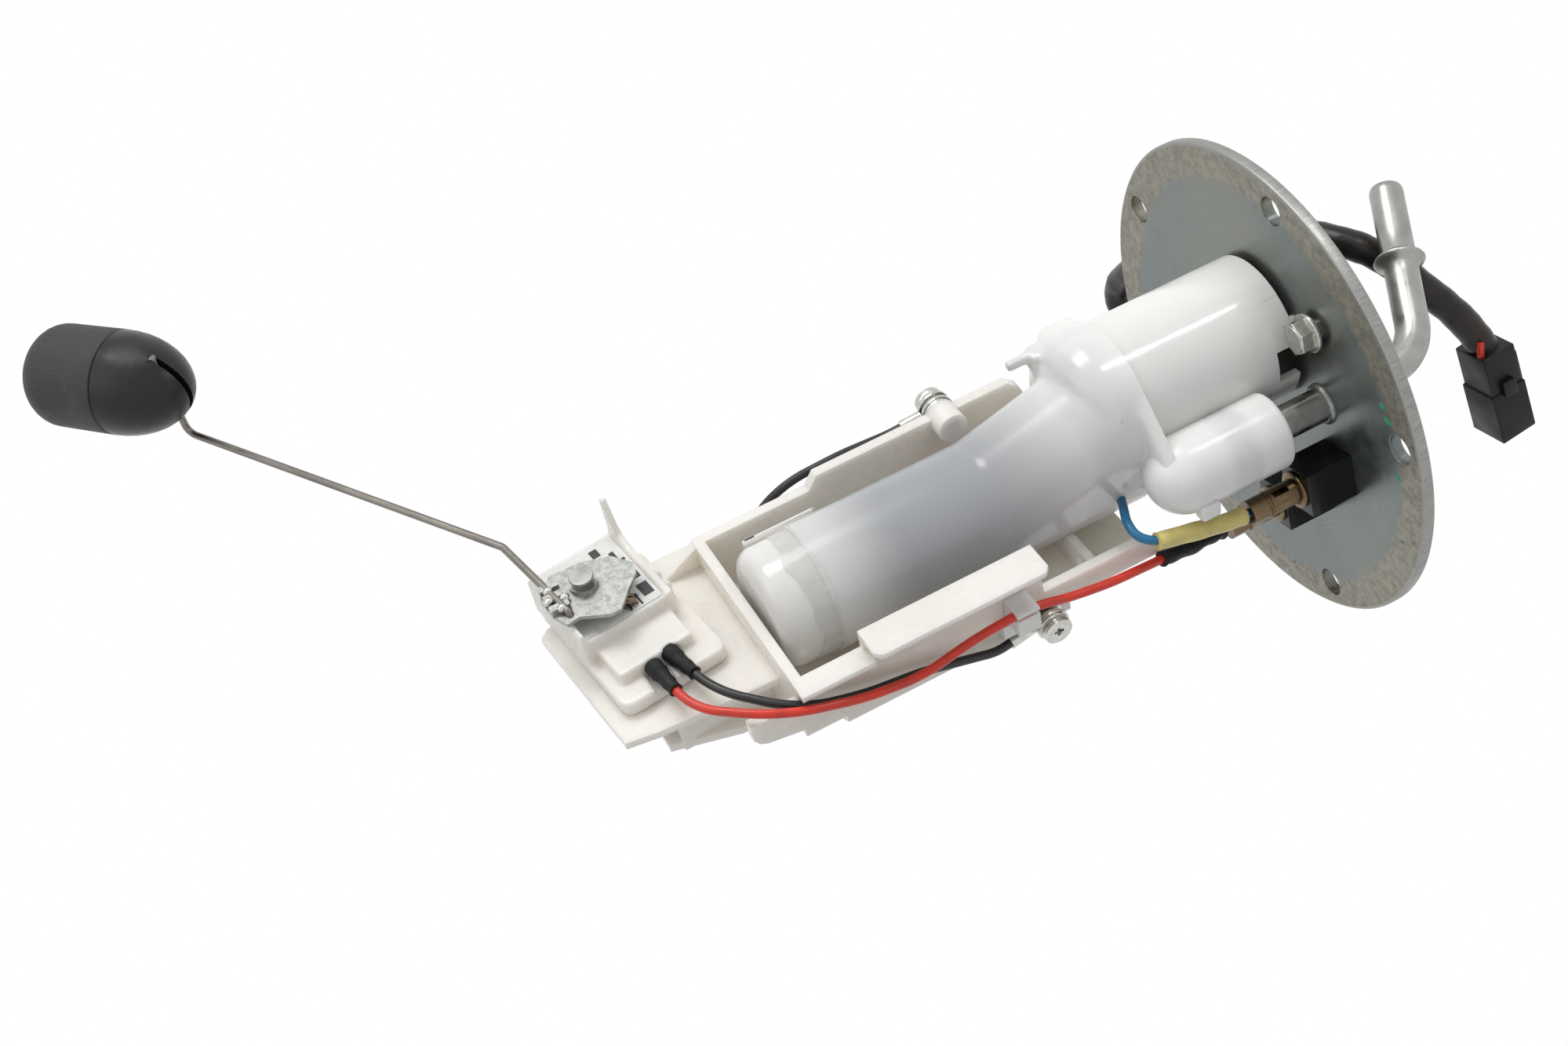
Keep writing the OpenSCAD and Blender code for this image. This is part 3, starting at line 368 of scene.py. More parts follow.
def foam_finish(finish, colour):
    """Closed-cell float barrel: matt, finely pored, with pale rub marks."""
    pores = finish.grain(1500.0, 3.0, 0.6)
    rubbed = finish.span(finish.grain(55.0, 5.0, 0.7), 0.5, 0.75)
    tone = finish.mix(finish.span(pores, 0.35, 0.65), darker(colour, 0.72), darker(colour, 1.15))
    finish.colour(finish.mix(finish.times(rubbed, 0.45), tone, linear(66, 66, 62)))
    finish.roughness(finish.span(rubbed, 0.0, 1.0, 0.62, 0.5))
    finish.bump(pores, 0.3, 0.0003)


def mesh_finish(finish, colour):
    """Woven filter mesh of the strainer."""
    finish.roughness(0.6)
    weave = finish.add("ShaderNodeTexChecker")
    weave.inputs["Scale"].default_value = 1600.0
    finish.feed(weave.inputs["Vector"], finish.place)
    finish.colour(finish.mix(weave.outputs["Fac"], darker(colour, 0.7), colour))
    finish.bump(weave.outputs["Fac"], 0.3, 0.0002)


NYLON_SPECKS = (900.0, 0.78, 0.35, 0.62)
NYLON_RELIEF = (520.0, 4.0, 0.03, 0.0003)
NYLON_DEPTH = (1.0, 0.92, 0.8)

# Each finish: the record's material slot, its maker, the material's name, its colour (a property or
# screen values) and what else the maker takes.
FINISH_ROWS = {
    "nylon": ("white_nylon", nylon_finish, "natural_nylon", "nylon", 45.0, NYLON_SPECKS,
              (220.0, 0.28, 0.44), NYLON_RELIEF, (0.25, NYLON_DEPTH, 0.0035)),
    "tray": ("white_nylon", nylon_finish, "tray_nylon", "tray", 45.0, NYLON_SPECKS,
             (220.0, 0.24, 0.40), NYLON_RELIEF, (0.75, NYLON_DEPTH, 0.0035)),
    "cover": ("white_nylon", nylon_finish, "cover_nylon", "nylon", 32.0, (700.0, 0.80, 0.3, 0.6),
              (150.0, 0.09, 0.18), (46.0, 2.0, 0.06, 0.0012), (0.25, (1.0, 0.95, 0.88), 0.002)),
    "shell": ("clear_nylon", shell_finish, "milky_shell", "nylon"),
    "film": ("clear_nylon", film_finish, "sealing_film", (240, 239, 235)),
    "cap": ("clear_nylon", cap_finish, "cap_nylon", (230, 229, 225)),
    "outlet": ("white_nylon", outlet_finish, "outlet_nylon", (234, 234, 232)),
    "flange": ("zinc_plate", flange_finish, "flange_zinc", "zinc"),
    "plate": ("zinc_plate", plate_finish, "wiper_zinc", (168, 170, 165)),
    "pipe": ("bright_steel", metal_finish, "pipe_steel", (166, 166, 162), 0.3, (0.2, 0.2, 0.2), 0.18),
    "weld": ("bright_steel", metal_finish, "weld_zinc", (150, 152, 148), 0.42),
    "bolt": ("zinc_bolt", metal_finish, "bolt_zinc", (205, 204, 198), 0.2, (1.0, 1.0, 1.0), 0.2),
    "wire": ("dark_steel", metal_finish, "arm_wire", (132, 127, 121), 0.34, (0.15, 1.0, 0.15), 0.25),
    "can": ("grey_can", metal_finish, "can_grey", (138, 142, 146), 0.4, (1.0, 1.0, 0.1), 0.1, 0.5),
    "cast": ("die_cast", metal_finish, "cast_alloy", (172, 174, 176), 0.5),
    "bronze": ("bronze", metal_finish, "bronze_tin", (118, 99, 76), 0.22, (1.0, 1.0, 0.2)),
    # The sheath's brownish patches are painted reflection of warm surroundings on the black vinyl.
    "sheath": ("black_sheath", mottled_finish, "sheath_vinyl", (30, 28, 27), (1.0, (56, 49, 44)), (70.0, 4.0),
               (0.42, 0.72), (0.3, 0.7, 0.22, 0.42), (140.0, 3.0, 0.35, 0.0009), 0.3),
    "rubber": ("black_rubber", mottled_finish, "black_rubber", (26, 26, 27), (1.0, 1.9), (300.0, 5.0, 0.7),
               (0.5, 0.8), (0.3, 0.7, 0.45, 0.65), (500.0, 4.0, 0.25, 0.0004), 0.25),
    "card": ("card_ceramic", mottled_finish, "card_glaze", (226, 226, 222), (1.0, (198, 197, 190)),
             (260.0, 4.0), (0.5, 0.8), (0.3, 0.7, 0.24, 0.4), (700.0, 2.0, 0.05, 0.0002)),
    "foam": ("black_foam", foam_finish, "float_foam", (44, 45, 43)),
    "mesh": ("filter_nylon", mesh_finish, "filter_mesh", (210, 209, 200)),
    "float_cap": ("black_plastic", gloss_black_finish, "float_cap_black", (30, 31, 31)),
    "ferrite": ("ferrite", gloss_black_finish, "ferrite_grey", (62, 62, 64), 0.5),
    "block": ("black_plastic", gloss_black_finish, "block_black", (15, 15, 16), 0.16),
    "plug": ("black_plastic", gloss_black_finish, "plug_black", (12, 12, 13), 0.42),
    "red": ("red_vinyl", vinyl_finish, "red_vinyl", "red"),
    "blue": ("blue_vinyl", vinyl_finish, "blue_vinyl", "blue"),
    "yellow": ("yellow_tube", vinyl_finish, "yellow_tube", "yellow", 0.4),
    "black": ("black_sheath", vinyl_finish, "black_vinyl", (24, 26, 27), 0.34),
    "track": ("ferrite", vinyl_finish, "track_ink", (52, 52, 54), 0.5),
    "paint": ("zinc_plate", vinyl_finish, "check_paint", (40, 150, 98), 0.45),
}
MADE = {}


def finish_named(name):
    """One material for each finish, made the first time that it is asked for."""
    if name not in MADE:
        _, maker, title, colour, *rest = FINISH_ROWS[name]
        finish = Finish(title, shade(colour))
        maker(finish, shade(colour), *rest)
        MADE[name] = finish.material
    return MADE[name]


# Making and placing pieces

def mm(*values):
    return Vector(values) * 0.001


def add_object(name, data):
    """A new object in the scene's collection."""
    thing = bpy.data.objects.new(name, data)
    bpy.context.collection.objects.link(thing)
    return thing


def soften(bm, angle=38.0):
    """Smooth shading that stays crisp across edges sharper than the angle."""
    limit = math.radians(angle)
    for face in bm.faces:
        face.smooth = True
    for edge in bm.edges:
        edge.smooth = len(edge.link_faces) != 2 or edge.calc_face_angle(0.0) < limit


def place(name, bm, finish, nodes=(), angle=38.0, body="base", weighted=False):
    """Turns a bmesh into a finished piece that rides on a body and stands for its CAD nodes."""
    soften(bm, angle)
    mesh = bpy.data.meshes.new(name)
    bm.to_mesh(mesh)
    bm.free()
    return place_mesh(name, mesh, finish, nodes, body, weighted)


def place_mesh(name, mesh, finish, nodes, body="base", weighted=False):
    """The same for a mesh that is already shaded."""
    piece = add_object(name, mesh)
    mesh.materials.clear()
    mesh.materials.append(finish_named(finish))
    if weighted:
        normals = piece.modifiers.new("Even normals", "WEIGHTED_NORMAL")
        normals.keep_sharp = True
    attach(piece, body)
    if nodes:
        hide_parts(*nodes)
    return piece


def paint_node(node, finish):
    """Gives a CAD node that keeps its own mesh a finish."""
    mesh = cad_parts[node].data
    if not mesh.materials:
        mesh.materials.append(finish_named(finish))
    for index in range(len(mesh.materials)):
        mesh.materials[index] = finish_named(finish)


def bmesh_of(mesh):
    bm = bmesh.new()
    bm.from_mesh(mesh)
    return bm


def merged(mesh):
    """A bmesh of the mesh with doubled points joined and its flat faces whole again."""
    bm = bmesh_of(mesh)
    bmesh.ops.remove_doubles(bm, verts=bm.verts, dist=2e-6)
    bmesh.ops.dissolve_limit(bm, angle_limit=math.radians(0.6), verts=bm.verts, edges=bm.edges)
    return bm


def solid_of(node):
    """A merged copy of a CAD node."""
    return merged(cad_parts[node].data)


def bevel(bm, edges, width, segments, slide=False):
    bmesh.ops.bevel(bm, geom=edges, offset=width, offset_type="OFFSET", segments=segments, profile=0.5,
                    affect="EDGES", clamp_overlap=True, material=-1, loop_slide=slide)


def break_edges(bm, width, angle=40.0, segments=2):
    """Rounds the edges that are sharper than the angle."""
    limit = math.radians(angle)
    edges = [e for e in bm.edges if len(e.link_faces) == 2 and e.calc_face_angle(0.0) > limit]
    bevel(bm, edges, width, segments, slide=True)


def rounded_node(node, finish, body="base", width=None, angle=50.0):
    """The CAD node's own shape with rounded edges and even shading."""
    bm = solid_of(node)
    if width:
        break_edges(bm, width, angle)
    return place(node + "_piece", bm, finish, [node], 50.0, body, weighted=True)


def lathe(profile, centre, steps=72):
    """Spins a profile of (radius, height) points, in mm, about a vertical axis through centre."""
    bm = bmesh.new()
    verts = [bm.verts.new(mm(centre[0] + r, centre[1], z)) for r, z in profile]
    edges = [bm.edges.new(pair) for pair in zip(verts, verts[1:])]
    bmesh.ops.spin(bm, geom=verts + edges, cent=mm(*centre, 0), axis=(0, 0, 1),
                   angle=2 * math.pi, steps=steps, use_merge=True)
    bmesh.ops.remove_doubles(bm, verts=bm.verts, dist=1e-6)
    bmesh.ops.recalc_face_normals(bm, faces=bm.faces)
    return bm


def arc(cx, cz, radius, start, end, count):
    """Profile points on an arc, angles in degrees from +radius towards +height."""
    return [(cx + radius * math.cos(math.radians(start + (end - start) * i / count)),
             cz + radius * math.sin(math.radians(start + (end - start) * i / count)))
            for i in range(count + 1)]


def chaikin(points, passes):
    """Cuts the corners of a route, keeping its end points, as the part's own source does."""
    for _ in range(passes):
        cut = [points[0]]
        for a, b in zip(points, points[1:]):
            cut += [a * 0.75 + b * 0.25, a * 0.25 + b * 0.75]
        points = cut + [points[-1]]
    return points


def tube_mesh(name, points, radius, radii=None, sides=6, capped=True):
    """A round tube along points; radii scale it from point to point."""
    curve = bpy.data.curves.new(name, "CURVE")
    curve.dimensions = "3D"
    curve.bevel_depth = radius
    curve.bevel_resolution = sides
    curve.use_fill_caps = capped
    spline = curve.splines.new("POLY")
    spline.points.add(len(points) - 1)
    for i, point in enumerate(points):
        spline.points[i].co = (*point, 1.0)
        spline.points[i].radius = radii[i] if radii else 1.0
    bm = bmesh_of(baked(add_object(name, curve)))
    bmesh.ops.remove_doubles(bm, verts=bm.verts, dist=1e-7)
    bmesh.ops.recalc_face_normals(bm, faces=bm.faces)
    return bm


def block(bm, low, high, matrix=None):
    """Adds a box between two corners, in mm."""
    size = [b - a for a, b in zip(low, high)]
    middle = [(a + b) / 2 for a, b in zip(low, high)]
    move = Matrix.Translation(mm(*middle)) @ Matrix.Diagonal((*[s * 0.001 for s in size], 1.0))
    bmesh.ops.create_cube(bm, size=1.0, matrix=(matrix or Matrix()) @ move)


def disc(bm, centre, radius, z0, z1, segments=64, matrix=None):
    """Adds an upright round bar, in mm."""
    move = Matrix.Translation(mm(*centre, (z0 + z1) / 2))
    bmesh.ops.create_cone(bm, cap_ends=True, segments=segments, radius1=radius * 0.001,
                          radius2=radius * 0.001, depth=(z1 - z0) * 0.001, matrix=(matrix or Matrix()) @ move)


def baked(piece):
    """The piece's mesh with its modifiers applied; the piece itself is removed."""
    bpy.context.view_layer.update()
    mesh = bpy.data.meshes.new_from_object(piece.evaluated_get(bpy.context.evaluated_depsgraph_get()))
    bpy.data.objects.remove(piece)
    return mesh


def working_object(bm, name="work"):
    """A helper object for modifiers; baked() or the caller removes it."""
    mesh = bpy.data.meshes.new(name)
    bm.to_mesh(mesh)
    bm.free()
    return add_object(name, mesh)


def modify(piece, kind, **settings):
    """Adds a modifier with its settings."""
    modifier = piece.modifiers.new(kind.title(), kind)
    for key, value in settings.items():
        setattr(modifier, key, value)


def cut_away(piece, tool):
    """Cuts the tool's shape out of the piece once it is baked."""
    modify(piece, "BOOLEAN", operation="DIFFERENCE", object=tool, solver="EXACT")


def disc_tool(name, centre, radius, z0, z1, segments):
    """A round bar, in mm, for cutting."""
    bm = bmesh.new()
    disc(bm, centre, radius, z0, z1, segments)
    return working_object(bm, name)


def melted(bm, cell, passes):
    """Overlapping closed bodies as one skin of even cells, smoothed."""
    work = working_object(bm)
    modify(work, "REMESH", mode="VOXEL", voxel_size=cell)
    modify(work, "SMOOTH", factor=0.5, iterations=passes)
    return bmesh_of(baked(work))


# Camera, light and stage

CAMERA_AT = mm(-314.75, -361.77, 222.28)
FORWARD = Vector((0.670, 0.7115, -0.2120)).normalized()
RIGHT = Vector((-0.4489, 0.1608, -0.8791))
RIGHT = (RIGHT - FORWARD * RIGHT.dot(FORWARD)).normalized()
UP = RIGHT.cross(FORWARD)
FOCAL_PIXELS = 2786.608
IMAGE_WIDTH = 1999
SENSOR_WIDTH = 36.0

# Light from the surroundings that only the object sees, and how far the floor lies below it.
AMBIENT_COLOUR, AMBIENT_STRENGTH = (0.97, 0.98, 1.0, 1.0), 0.53
FLOOR_GREY, FLOOR_DROP = 0.78, 0.012


class PUMP_OT_camera(bpy.types.Operator):
    """Places the camera where the photograph was taken from"""
    bl_idname = "pump.camera"
    bl_label = "Camera"

    def execute(self, context):
        data = bpy.data.cameras.new("photo_camera")
        data.sensor_width = SENSOR_WIDTH
        data.lens = FOCAL_PIXELS * SENSOR_WIDTH / IMAGE_WIDTH
        data.clip_start, data.clip_end = 0.01, 20.0
        camera = add_object("photo_camera", data)
        turned = Matrix((RIGHT, UP, -FORWARD)).transposed().to_4x4()
        camera.matrix_world = Matrix.Translation(CAMERA_AT) @ turned
        context.scene.camera = camera
        return {"FINISHED"}


def soft_light(name, offset, width, height, watts, target):
    """A rectangular lamp that faces its target from an offset in the camera's axes."""
    data = bpy.data.lights.new(name, "AREA")
    data.shape = "RECTANGLE"
    data.size, data.size_y = width, height
    data.energy = watts
    lamp = add_object(name, data)
    lamp.location = target + RIGHT * offset[0] + UP * offset[1] - FORWARD * offset[2]
    away = (lamp.location - target).normalized()
    along = (Vector((0, 0, 1)) - away * away.z).normalized()
    across = away.cross(along)
    lamp.rotation_mode = "QUATERNION"
    lamp.rotation_quaternion = Matrix((along, across, away)).transposed().to_quaternion()


def glint_from(turn, reach, target):
    """Where a strip lamp stands to draw a line of light on an upright barrel, turned up from the camera."""
    view = (CAMERA_AT - target).normalized()
    level = (view - Vector((0, 0, view.z))).normalized()
    side = Vector((0, 0, 1)).cross(level)
    side = side if side.dot(UP) > 0 else -side
    angle = math.radians(turn)
    way = (level * math.cos(angle) + side * math.sin(angle)) * math.sqrt(1 - view.z ** 2)
    way -= Vector((0, 0, view.z))
    return Vector((way.dot(RIGHT), way.dot(UP), way.dot(-FORWARD))) * reach


def seen_white(tree, surface, other):
    """Camera, glossy and transmission rays see the surface; the rest see the other shader."""
    path = tree.nodes.new("ShaderNodeLightPath")
    seen = path.outputs["Is Camera Ray"]
    for ray in ("Is Glossy Ray", "Is Transmission Ray"):
        either = tree.nodes.new("ShaderNodeMath")
        either.operation = "MAXIMUM"
        tree.links.new(seen, either.inputs[0])
        tree.links.new(path.outputs[ray], either.inputs[1])
        seen = either.outputs[0]
    mix = tree.nodes.new("ShaderNodeMixShader")
    tree.links.new(seen, mix.inputs[0])
    tree.links.new(other, mix.inputs[1])
    tree.links.new(surface, mix.inputs[2])
    return mix.outputs[0]


class PUMP_OT_stage(bpy.types.Operator):
    """Sets up the white backdrop, the floor and the soft lights"""
    bl_idname = "pump.stage"
    bl_label = "Stage"

    def execute(self, context):
        scene = context.scene
        scene.view_settings.view_transform = "Standard"
        world = bpy.data.worlds.new("studio")
        scene.world = world
        world.use_nodes = True
        tree = world.node_tree
        tree.nodes.clear()
        white = tree.nodes.new("ShaderNodeBackground")
        white.inputs["Color"].default_value = (1.0, 1.0, 1.0, 1.0)
        ambient = tree.nodes.new("ShaderNodeBackground")
        ambient.inputs["Color"].default_value = AMBIENT_COLOUR
        ambient.inputs["Strength"].default_value = AMBIENT_STRENGTH
        out = tree.nodes.new("ShaderNodeOutputWorld")
        tree.links.new(seen_white(tree, white.outputs[0], ambient.outputs[0]), out.inputs["Surface"])

        bm = bmesh.new()
        bmesh.ops.create_grid(bm, x_segments=1, y_segments=1, size=3.0,
                              matrix=Matrix.Translation((0.04, 0.0, CAD_BOX[0][2] - FLOOR_DROP)))
        floor = working_object(bm, "floor")
        paint = bpy.data.materials.new("floor_white")
        paint.use_nodes = True
        tree = paint.node_tree
        shader = tree.nodes["Principled BSDF"]
        shader.inputs["Base Color"].default_value = (FLOOR_GREY, FLOOR_GREY, FLOOR_GREY, 1.0)
        shader.inputs["Roughness"].default_value = 0.9
        glow = tree.nodes.new("ShaderNodeEmission")
        glow.inputs["Strength"].default_value = 1.0
        tree.links.new(seen_white(tree, glow.outputs[0], shader.outputs[0]),
                       tree.nodes["Material Output"].inputs["Surface"])
        floor.data.materials.append(paint)

        middle = mm(5, -12, 95)
        soft_light("key", (-0.35, 0.66, 0.32), 0.5, 0.26, 3.0, middle)
        cover = mm(0, -18, 34)
        soft_light("strip", glint_from(38, 0.23, cover), 0.05, 0.011, 0.07, cover)
        soft_light("fill", (-0.85, 0.10, 0.55), 0.5, 0.6, 1.2, middle)
        return {"FINISHED"}


# Harness outside the flange

CABLE_ROUTE = [mm(*p) for p in (
    (-24, 14, -13), (-24, 17, -17), (-18, 26, -20), (-4, 40, -21), (18, 54, -21), (44, 62, -20),
    (68, 59, -18), (87, 50, -16), (91, 41, -16), (80, 27, -17), (60, 8, -22), (38, -7, -28),
    (20, -13, -34), (10, -11, -41), (2.4, -2.4, -48), (-4.6, 7.4, -55.5), (-9.6, 17, -59.6))]
CABLE_DIAMETER = 0.0075
PLUG = (Matrix.Translation(mm(-9, 15, -59)) @ Matrix.Rotation(math.radians(15), 4, "Z")
        @ Matrix.Rotation(math.radians(-97), 4, "X"))


def plug_piece():
    """Connector shell: two-step block, eight rounded edges, six sockets, a latch and its rails."""
    bm = bmesh.new()
    block(bm, (-5.4, -4.6, 0), (5.4, 4.6, 11.6))
    block(bm, (-5.8, -5.0, 11), (5.8, 5.0, 25))
    block(bm, (-7.0, -1.9, 8), (-5.0, 1.9, 12))
    block(bm, (-2.2, 4.4, 12), (2.2, 5.7, 22))
    block(bm, (-5.0, 4.4, 2.5), (-4.2, 5.1, 11.5))
    block(bm, (4.2, 4.4, 2.5), (5.0, 5.1, 11.5))
    bevel(bm, bm.edges[:], 0.0006, 3)
    solid = working_object(bm)
    cut = bmesh.new()
    for x in (-3.3, 0, 3.3):
        for y in (-1.8, 1.8):
            block(cut, (x - 1, y - 0.85, 13), (x + 1, y + 0.85, 26))
    cutter = working_object(cut, "sockets")
    cut_away(solid, cutter)
    mesh = baked(solid)
    bpy.data.objects.remove(cutter)
    mesh.transform(PLUG)
    return place("connector_shell", bmesh_of(mesh), "plug", ["connector"], 40.0)


class PUMP_OT_harness(bpy.types.Operator):
    """Lays the sheathed cable from the grommet to its connector"""
    bl_idname = "pump.harness"
    bl_label = "Harness"

    def execute(self, context):
        path = chaikin(CABLE_ROUTE, 3)
        radii = [1.0 + 0.035 * math.sin(i * 1.7) * math.sin(i * 0.43) for i in range(len(path))]
        bm = tube_mesh("sheath", path, CABLE_DIAMETER / 2, radii, 8)
        cable = place("cable_sheath", bm, "sheath", ["harness_cable"], 60.0)
        plug = plug_piece()
        paint_node("connector_terminals", "bronze")
        strand = [PLUG @ mm(-2.4, -2.2, -3.4), PLUG @ mm(-3.2, -3.4, -1.4), PLUG @ mm(-2.8, -3.4, 0.6)]
        wire = place("harness_wire", tube_mesh("strand", chaikin(strand, 2), 0.0009, None, 4), "red")
        rounded_node("cable_grommet", "rubber", width=0.0008)
        return {"FINISHED"}


# Flange, pipe and bolt; places on the flange are x and y in mm

PAINT_DABS = ((-44.1, -25.5, 1.1), (-46.4, -22.6, 1.2), (-50.4, -8.7, 1.0))
BOLT_AT = (-20.2, -30.4)
TERMINALS_AT = ((-30.7, 3.8), (-22.3, 15.5))

class PUMP_OT_flange(bpy.types.Operator):
    """Finishes the zinc flange and puts the check-paint dabs on it"""
    bl_idname = "pump.flange"
    bl_label = "Flange"

    def execute(self, context):
        rounded_node("flange_plate", "flange", width=sizes().pressed_edge, angle=60.0)
        for index, (x, y, size) in enumerate(PAINT_DABS):
            bm = bmesh.new()
            bmesh.ops.create_icosphere(bm, subdivisions=3, radius=size * 0.001)
            for vert in bm.verts:
                push = 1.0 + 0.45 * noise.noise(vert.co * 1500 + Vector((index * 7.0, 0, 0)))
                vert.co = Vector((vert.co.x * push, vert.co.y * push * 0.6, max(vert.co.z, 0.0) * 0.10))
            bmesh.ops.translate(bm, verts=bm.verts, vec=mm(x, y, 0.0))
            place("paint_dab_%d" % (index + 1), bm, "paint", angle=60.0)
        return {"FINISHED"}


BEND_RADIUS, BEND_ANGLE, PIPE_AZIMUTH = 14.0, 64.0, -20.0
PIPE_WALL = 0.001
PIPE_AT = (-23.5, -10.5)
BEND_Z = -26.5 + BEND_RADIUS * math.tan(math.radians(BEND_ANGLE / 2))


def pipe_line():
    """Centre line of the outlet pipe and its radius in mm at each point."""
    turn = Matrix.Rotation(math.radians(PIPE_AZIMUTH), 3, "Z")
    start = Vector((*PIPE_AT, 0.0))
    points = [(Vector((*PIPE_AT, z)), 4.0) for z in (25.5, 14.0, 1.6)]
    for i in range(25):
        a = math.radians(BEND_ANGLE * i / 24)
        flat = Vector((BEND_RADIUS * (1 - math.cos(a)), 0.0, -BEND_RADIUS * math.sin(a)))
        points.append((start + Vector((0, 0, BEND_Z)) + turn @ flat, 4.0))
    a = math.radians(BEND_ANGLE)
    way = turn @ Vector((math.sin(a), 0.0, -math.cos(a)))
    foot = points[-1][0]
    bead = sizes().bead_radius * 1000
    for at, radius in ((6, 4.0), (12, 4.0), (14.6, 4.02), (15.3, 4.4), (15.7, 5.1), (16.1, bead - 0.25),
                       (16.6, bead), (17.1, bead - 0.25), (17.5, 5.1), (17.9, 4.4), (18.5, 4.02),
                       (24, 4.0), (31, 4.0), (35.2, 4.0), (36.2, 3.9), (36.8, 3.6)):
        points.append((foot + way * at, radius))
    return [p * 0.001 for p, _ in points], [r / 4.0 for _, r in points]


class PUMP_OT_outlet_pipe(bpy.types.Operator):
    """Bends the outlet pipe with its stop bead and open end"""
    bl_idname = "pump.outlet_pipe"
    bl_label = "Outlet pipe"

    def execute(self, context):
        line, radii = pipe_line()
        bm = tube_mesh("pipe", line, 0.004, radii, 12, capped=False)
        soften(bm, 60.0)
        work = working_object(bm)
        modify(work, "SOLIDIFY", thickness=PIPE_WALL, offset=-1.0, use_even_offset=False)
        place_mesh("outlet_tube", baked(work), "pipe", ["outlet_pipe"])
        bead = lathe([(3.9, 0.0)] + arc(4.0, 0.0, 1.05, 0, 90, 8) + [(3.9, 1.05), (3.9, 0.0)], PIPE_AT)
        for vert in bead.verts:
            spread = vert.co - mm(*PIPE_AT, 0)
            angle = math.atan2(spread.y, spread.x)
            if vert.co.z > 2e-4:
                vert.co.z += 0.00006 * math.sin(angle * 23)
        place("pipe_weld_bead", bead, "weld", ["pipe_weld"], 50.0)
        return {"FINISHED"}


class PUMP_OT_fasteners(bpy.types.Operator):
    """Makes the flange bolt, the ground screws, their spring washers and ring terminals"""
    bl_idname = "pump.fasteners"
    bl_label = "Fasteners"

    def execute(self, context):
        edge = sizes().pressed_edge
        middle = mm(*BOLT_AT, 0)
        turn = (Matrix.Translation(middle) @ Matrix.Rotation(math.radians(12), 4, "Z")
                @ Matrix.Translation(-middle))
        bm = bmesh.new()
        for radius, z0, z1, sides, matrix in ((4.7, 1.2, 2.1, 48, None), (4.05, 2.0, 5.5, 6, turn),
                                              (3.2, 5.2, 5.7, 48, None), (2.5, -2.4, 1.3, 32, None)):
            disc(bm, BOLT_AT, radius, z0, z1, sides, matrix)
        break_edges(bm, edge, 25.0, 2)
        place("flange_bolt_piece", bm, "bolt", ["flange_bolt"], 50.0, weighted=True)
        for node in ("ground_screws", "spring_washers", "ring_terminals"):
            rounded_node(node, "bolt", width=edge)
        for point, side in ((mm(26.5, -10, 71), 1), (mm(-26.5, 8.5, 76.5), -1)):
            pose = Matrix.Translation(point) @ Matrix.Rotation(math.radians(90 * side), 4, "Y")
            bm = lathe([(1.2, 3.4), (3.4, 3.4), (3.55, 3.7), (3.3, 3.95), (3.5, 4.2), (3.5, 5.0)]
                       + arc(2.7, 5.0, 0.8, 0, 90, 6)[1:] + [(1.2, 5.86), (1.2, 3.4)], (0, 0), 48)
            bmesh.ops.transform(bm, matrix=pose, verts=bm.verts)
            place("screw_head_%s" % ("front" if side > 0 else "rear"), bm, "bolt", angle=50.0)
        return {"FINISHED"}


class PUMP_OT_feed_through(bpy.types.Operator):
    """Finishes the insulating blocks and makes the slotted bronze terminals"""
    bl_idname = "pump.feed_through"
    bl_label = "Feed-through"

    def execute(self, context):
        rounded_node("terminal_insulators", "block", width=0.0005)
        rounded_node("terminals", "bronze", width=0.00015)
        for index, (x, y) in enumerate(TERMINALS_AT):
            bm = lathe([(3.0, 12.9), (3.9, 13.0), (4.45, 12.75), (4.55, 12.4), (4.4, 12.1), (3.0, 12.1),
                        (3.0, 12.9)], (x, y), 48)
            place("terminal_flare_%d" % (index + 1), bm, "bronze", angle=50.0)
            ring = [mm(x + 3.05 * math.cos(math.radians(a)), y + 3.05 * math.sin(math.radians(a)), 20.4)
                    for a in range(0, 361, 12)]
            bm = tube_mesh("roll", ring, 0.00032, None, 3)
            place("terminal_roll_%d" % (index + 1), bm, "bronze", angle=60.0)
        return {"FINISHED"}


# Strainer, shell, cap and outlet, in mm

CAN_Y = -4.5
COVER_AT = (0.0, -18.1)
SHELL_R = 15.1
COLLAR_R = 18.6


def hull_of(bm, rings):
    """Adds the convex hull of upright circles given as (x, y, z, radius), in mm."""
    verts = []
    for x, y, z, radius in rings:
        made = bmesh.ops.create_circle(bm, cap_ends=False, segments=72, radius=radius * 0.001,
                                       matrix=Matrix.Translation(mm(x, y, z)))
        verts += made["verts"]
    made = bmesh.ops.convex_hull(bm, input=verts, use_existing_faces=False)
    loose = [g for g in made["geom_interior"] + made["geom_unused"] if isinstance(g, bmesh.types.BMVert)]
    bmesh.ops.delete(bm, geom=loose, context="VERTS")


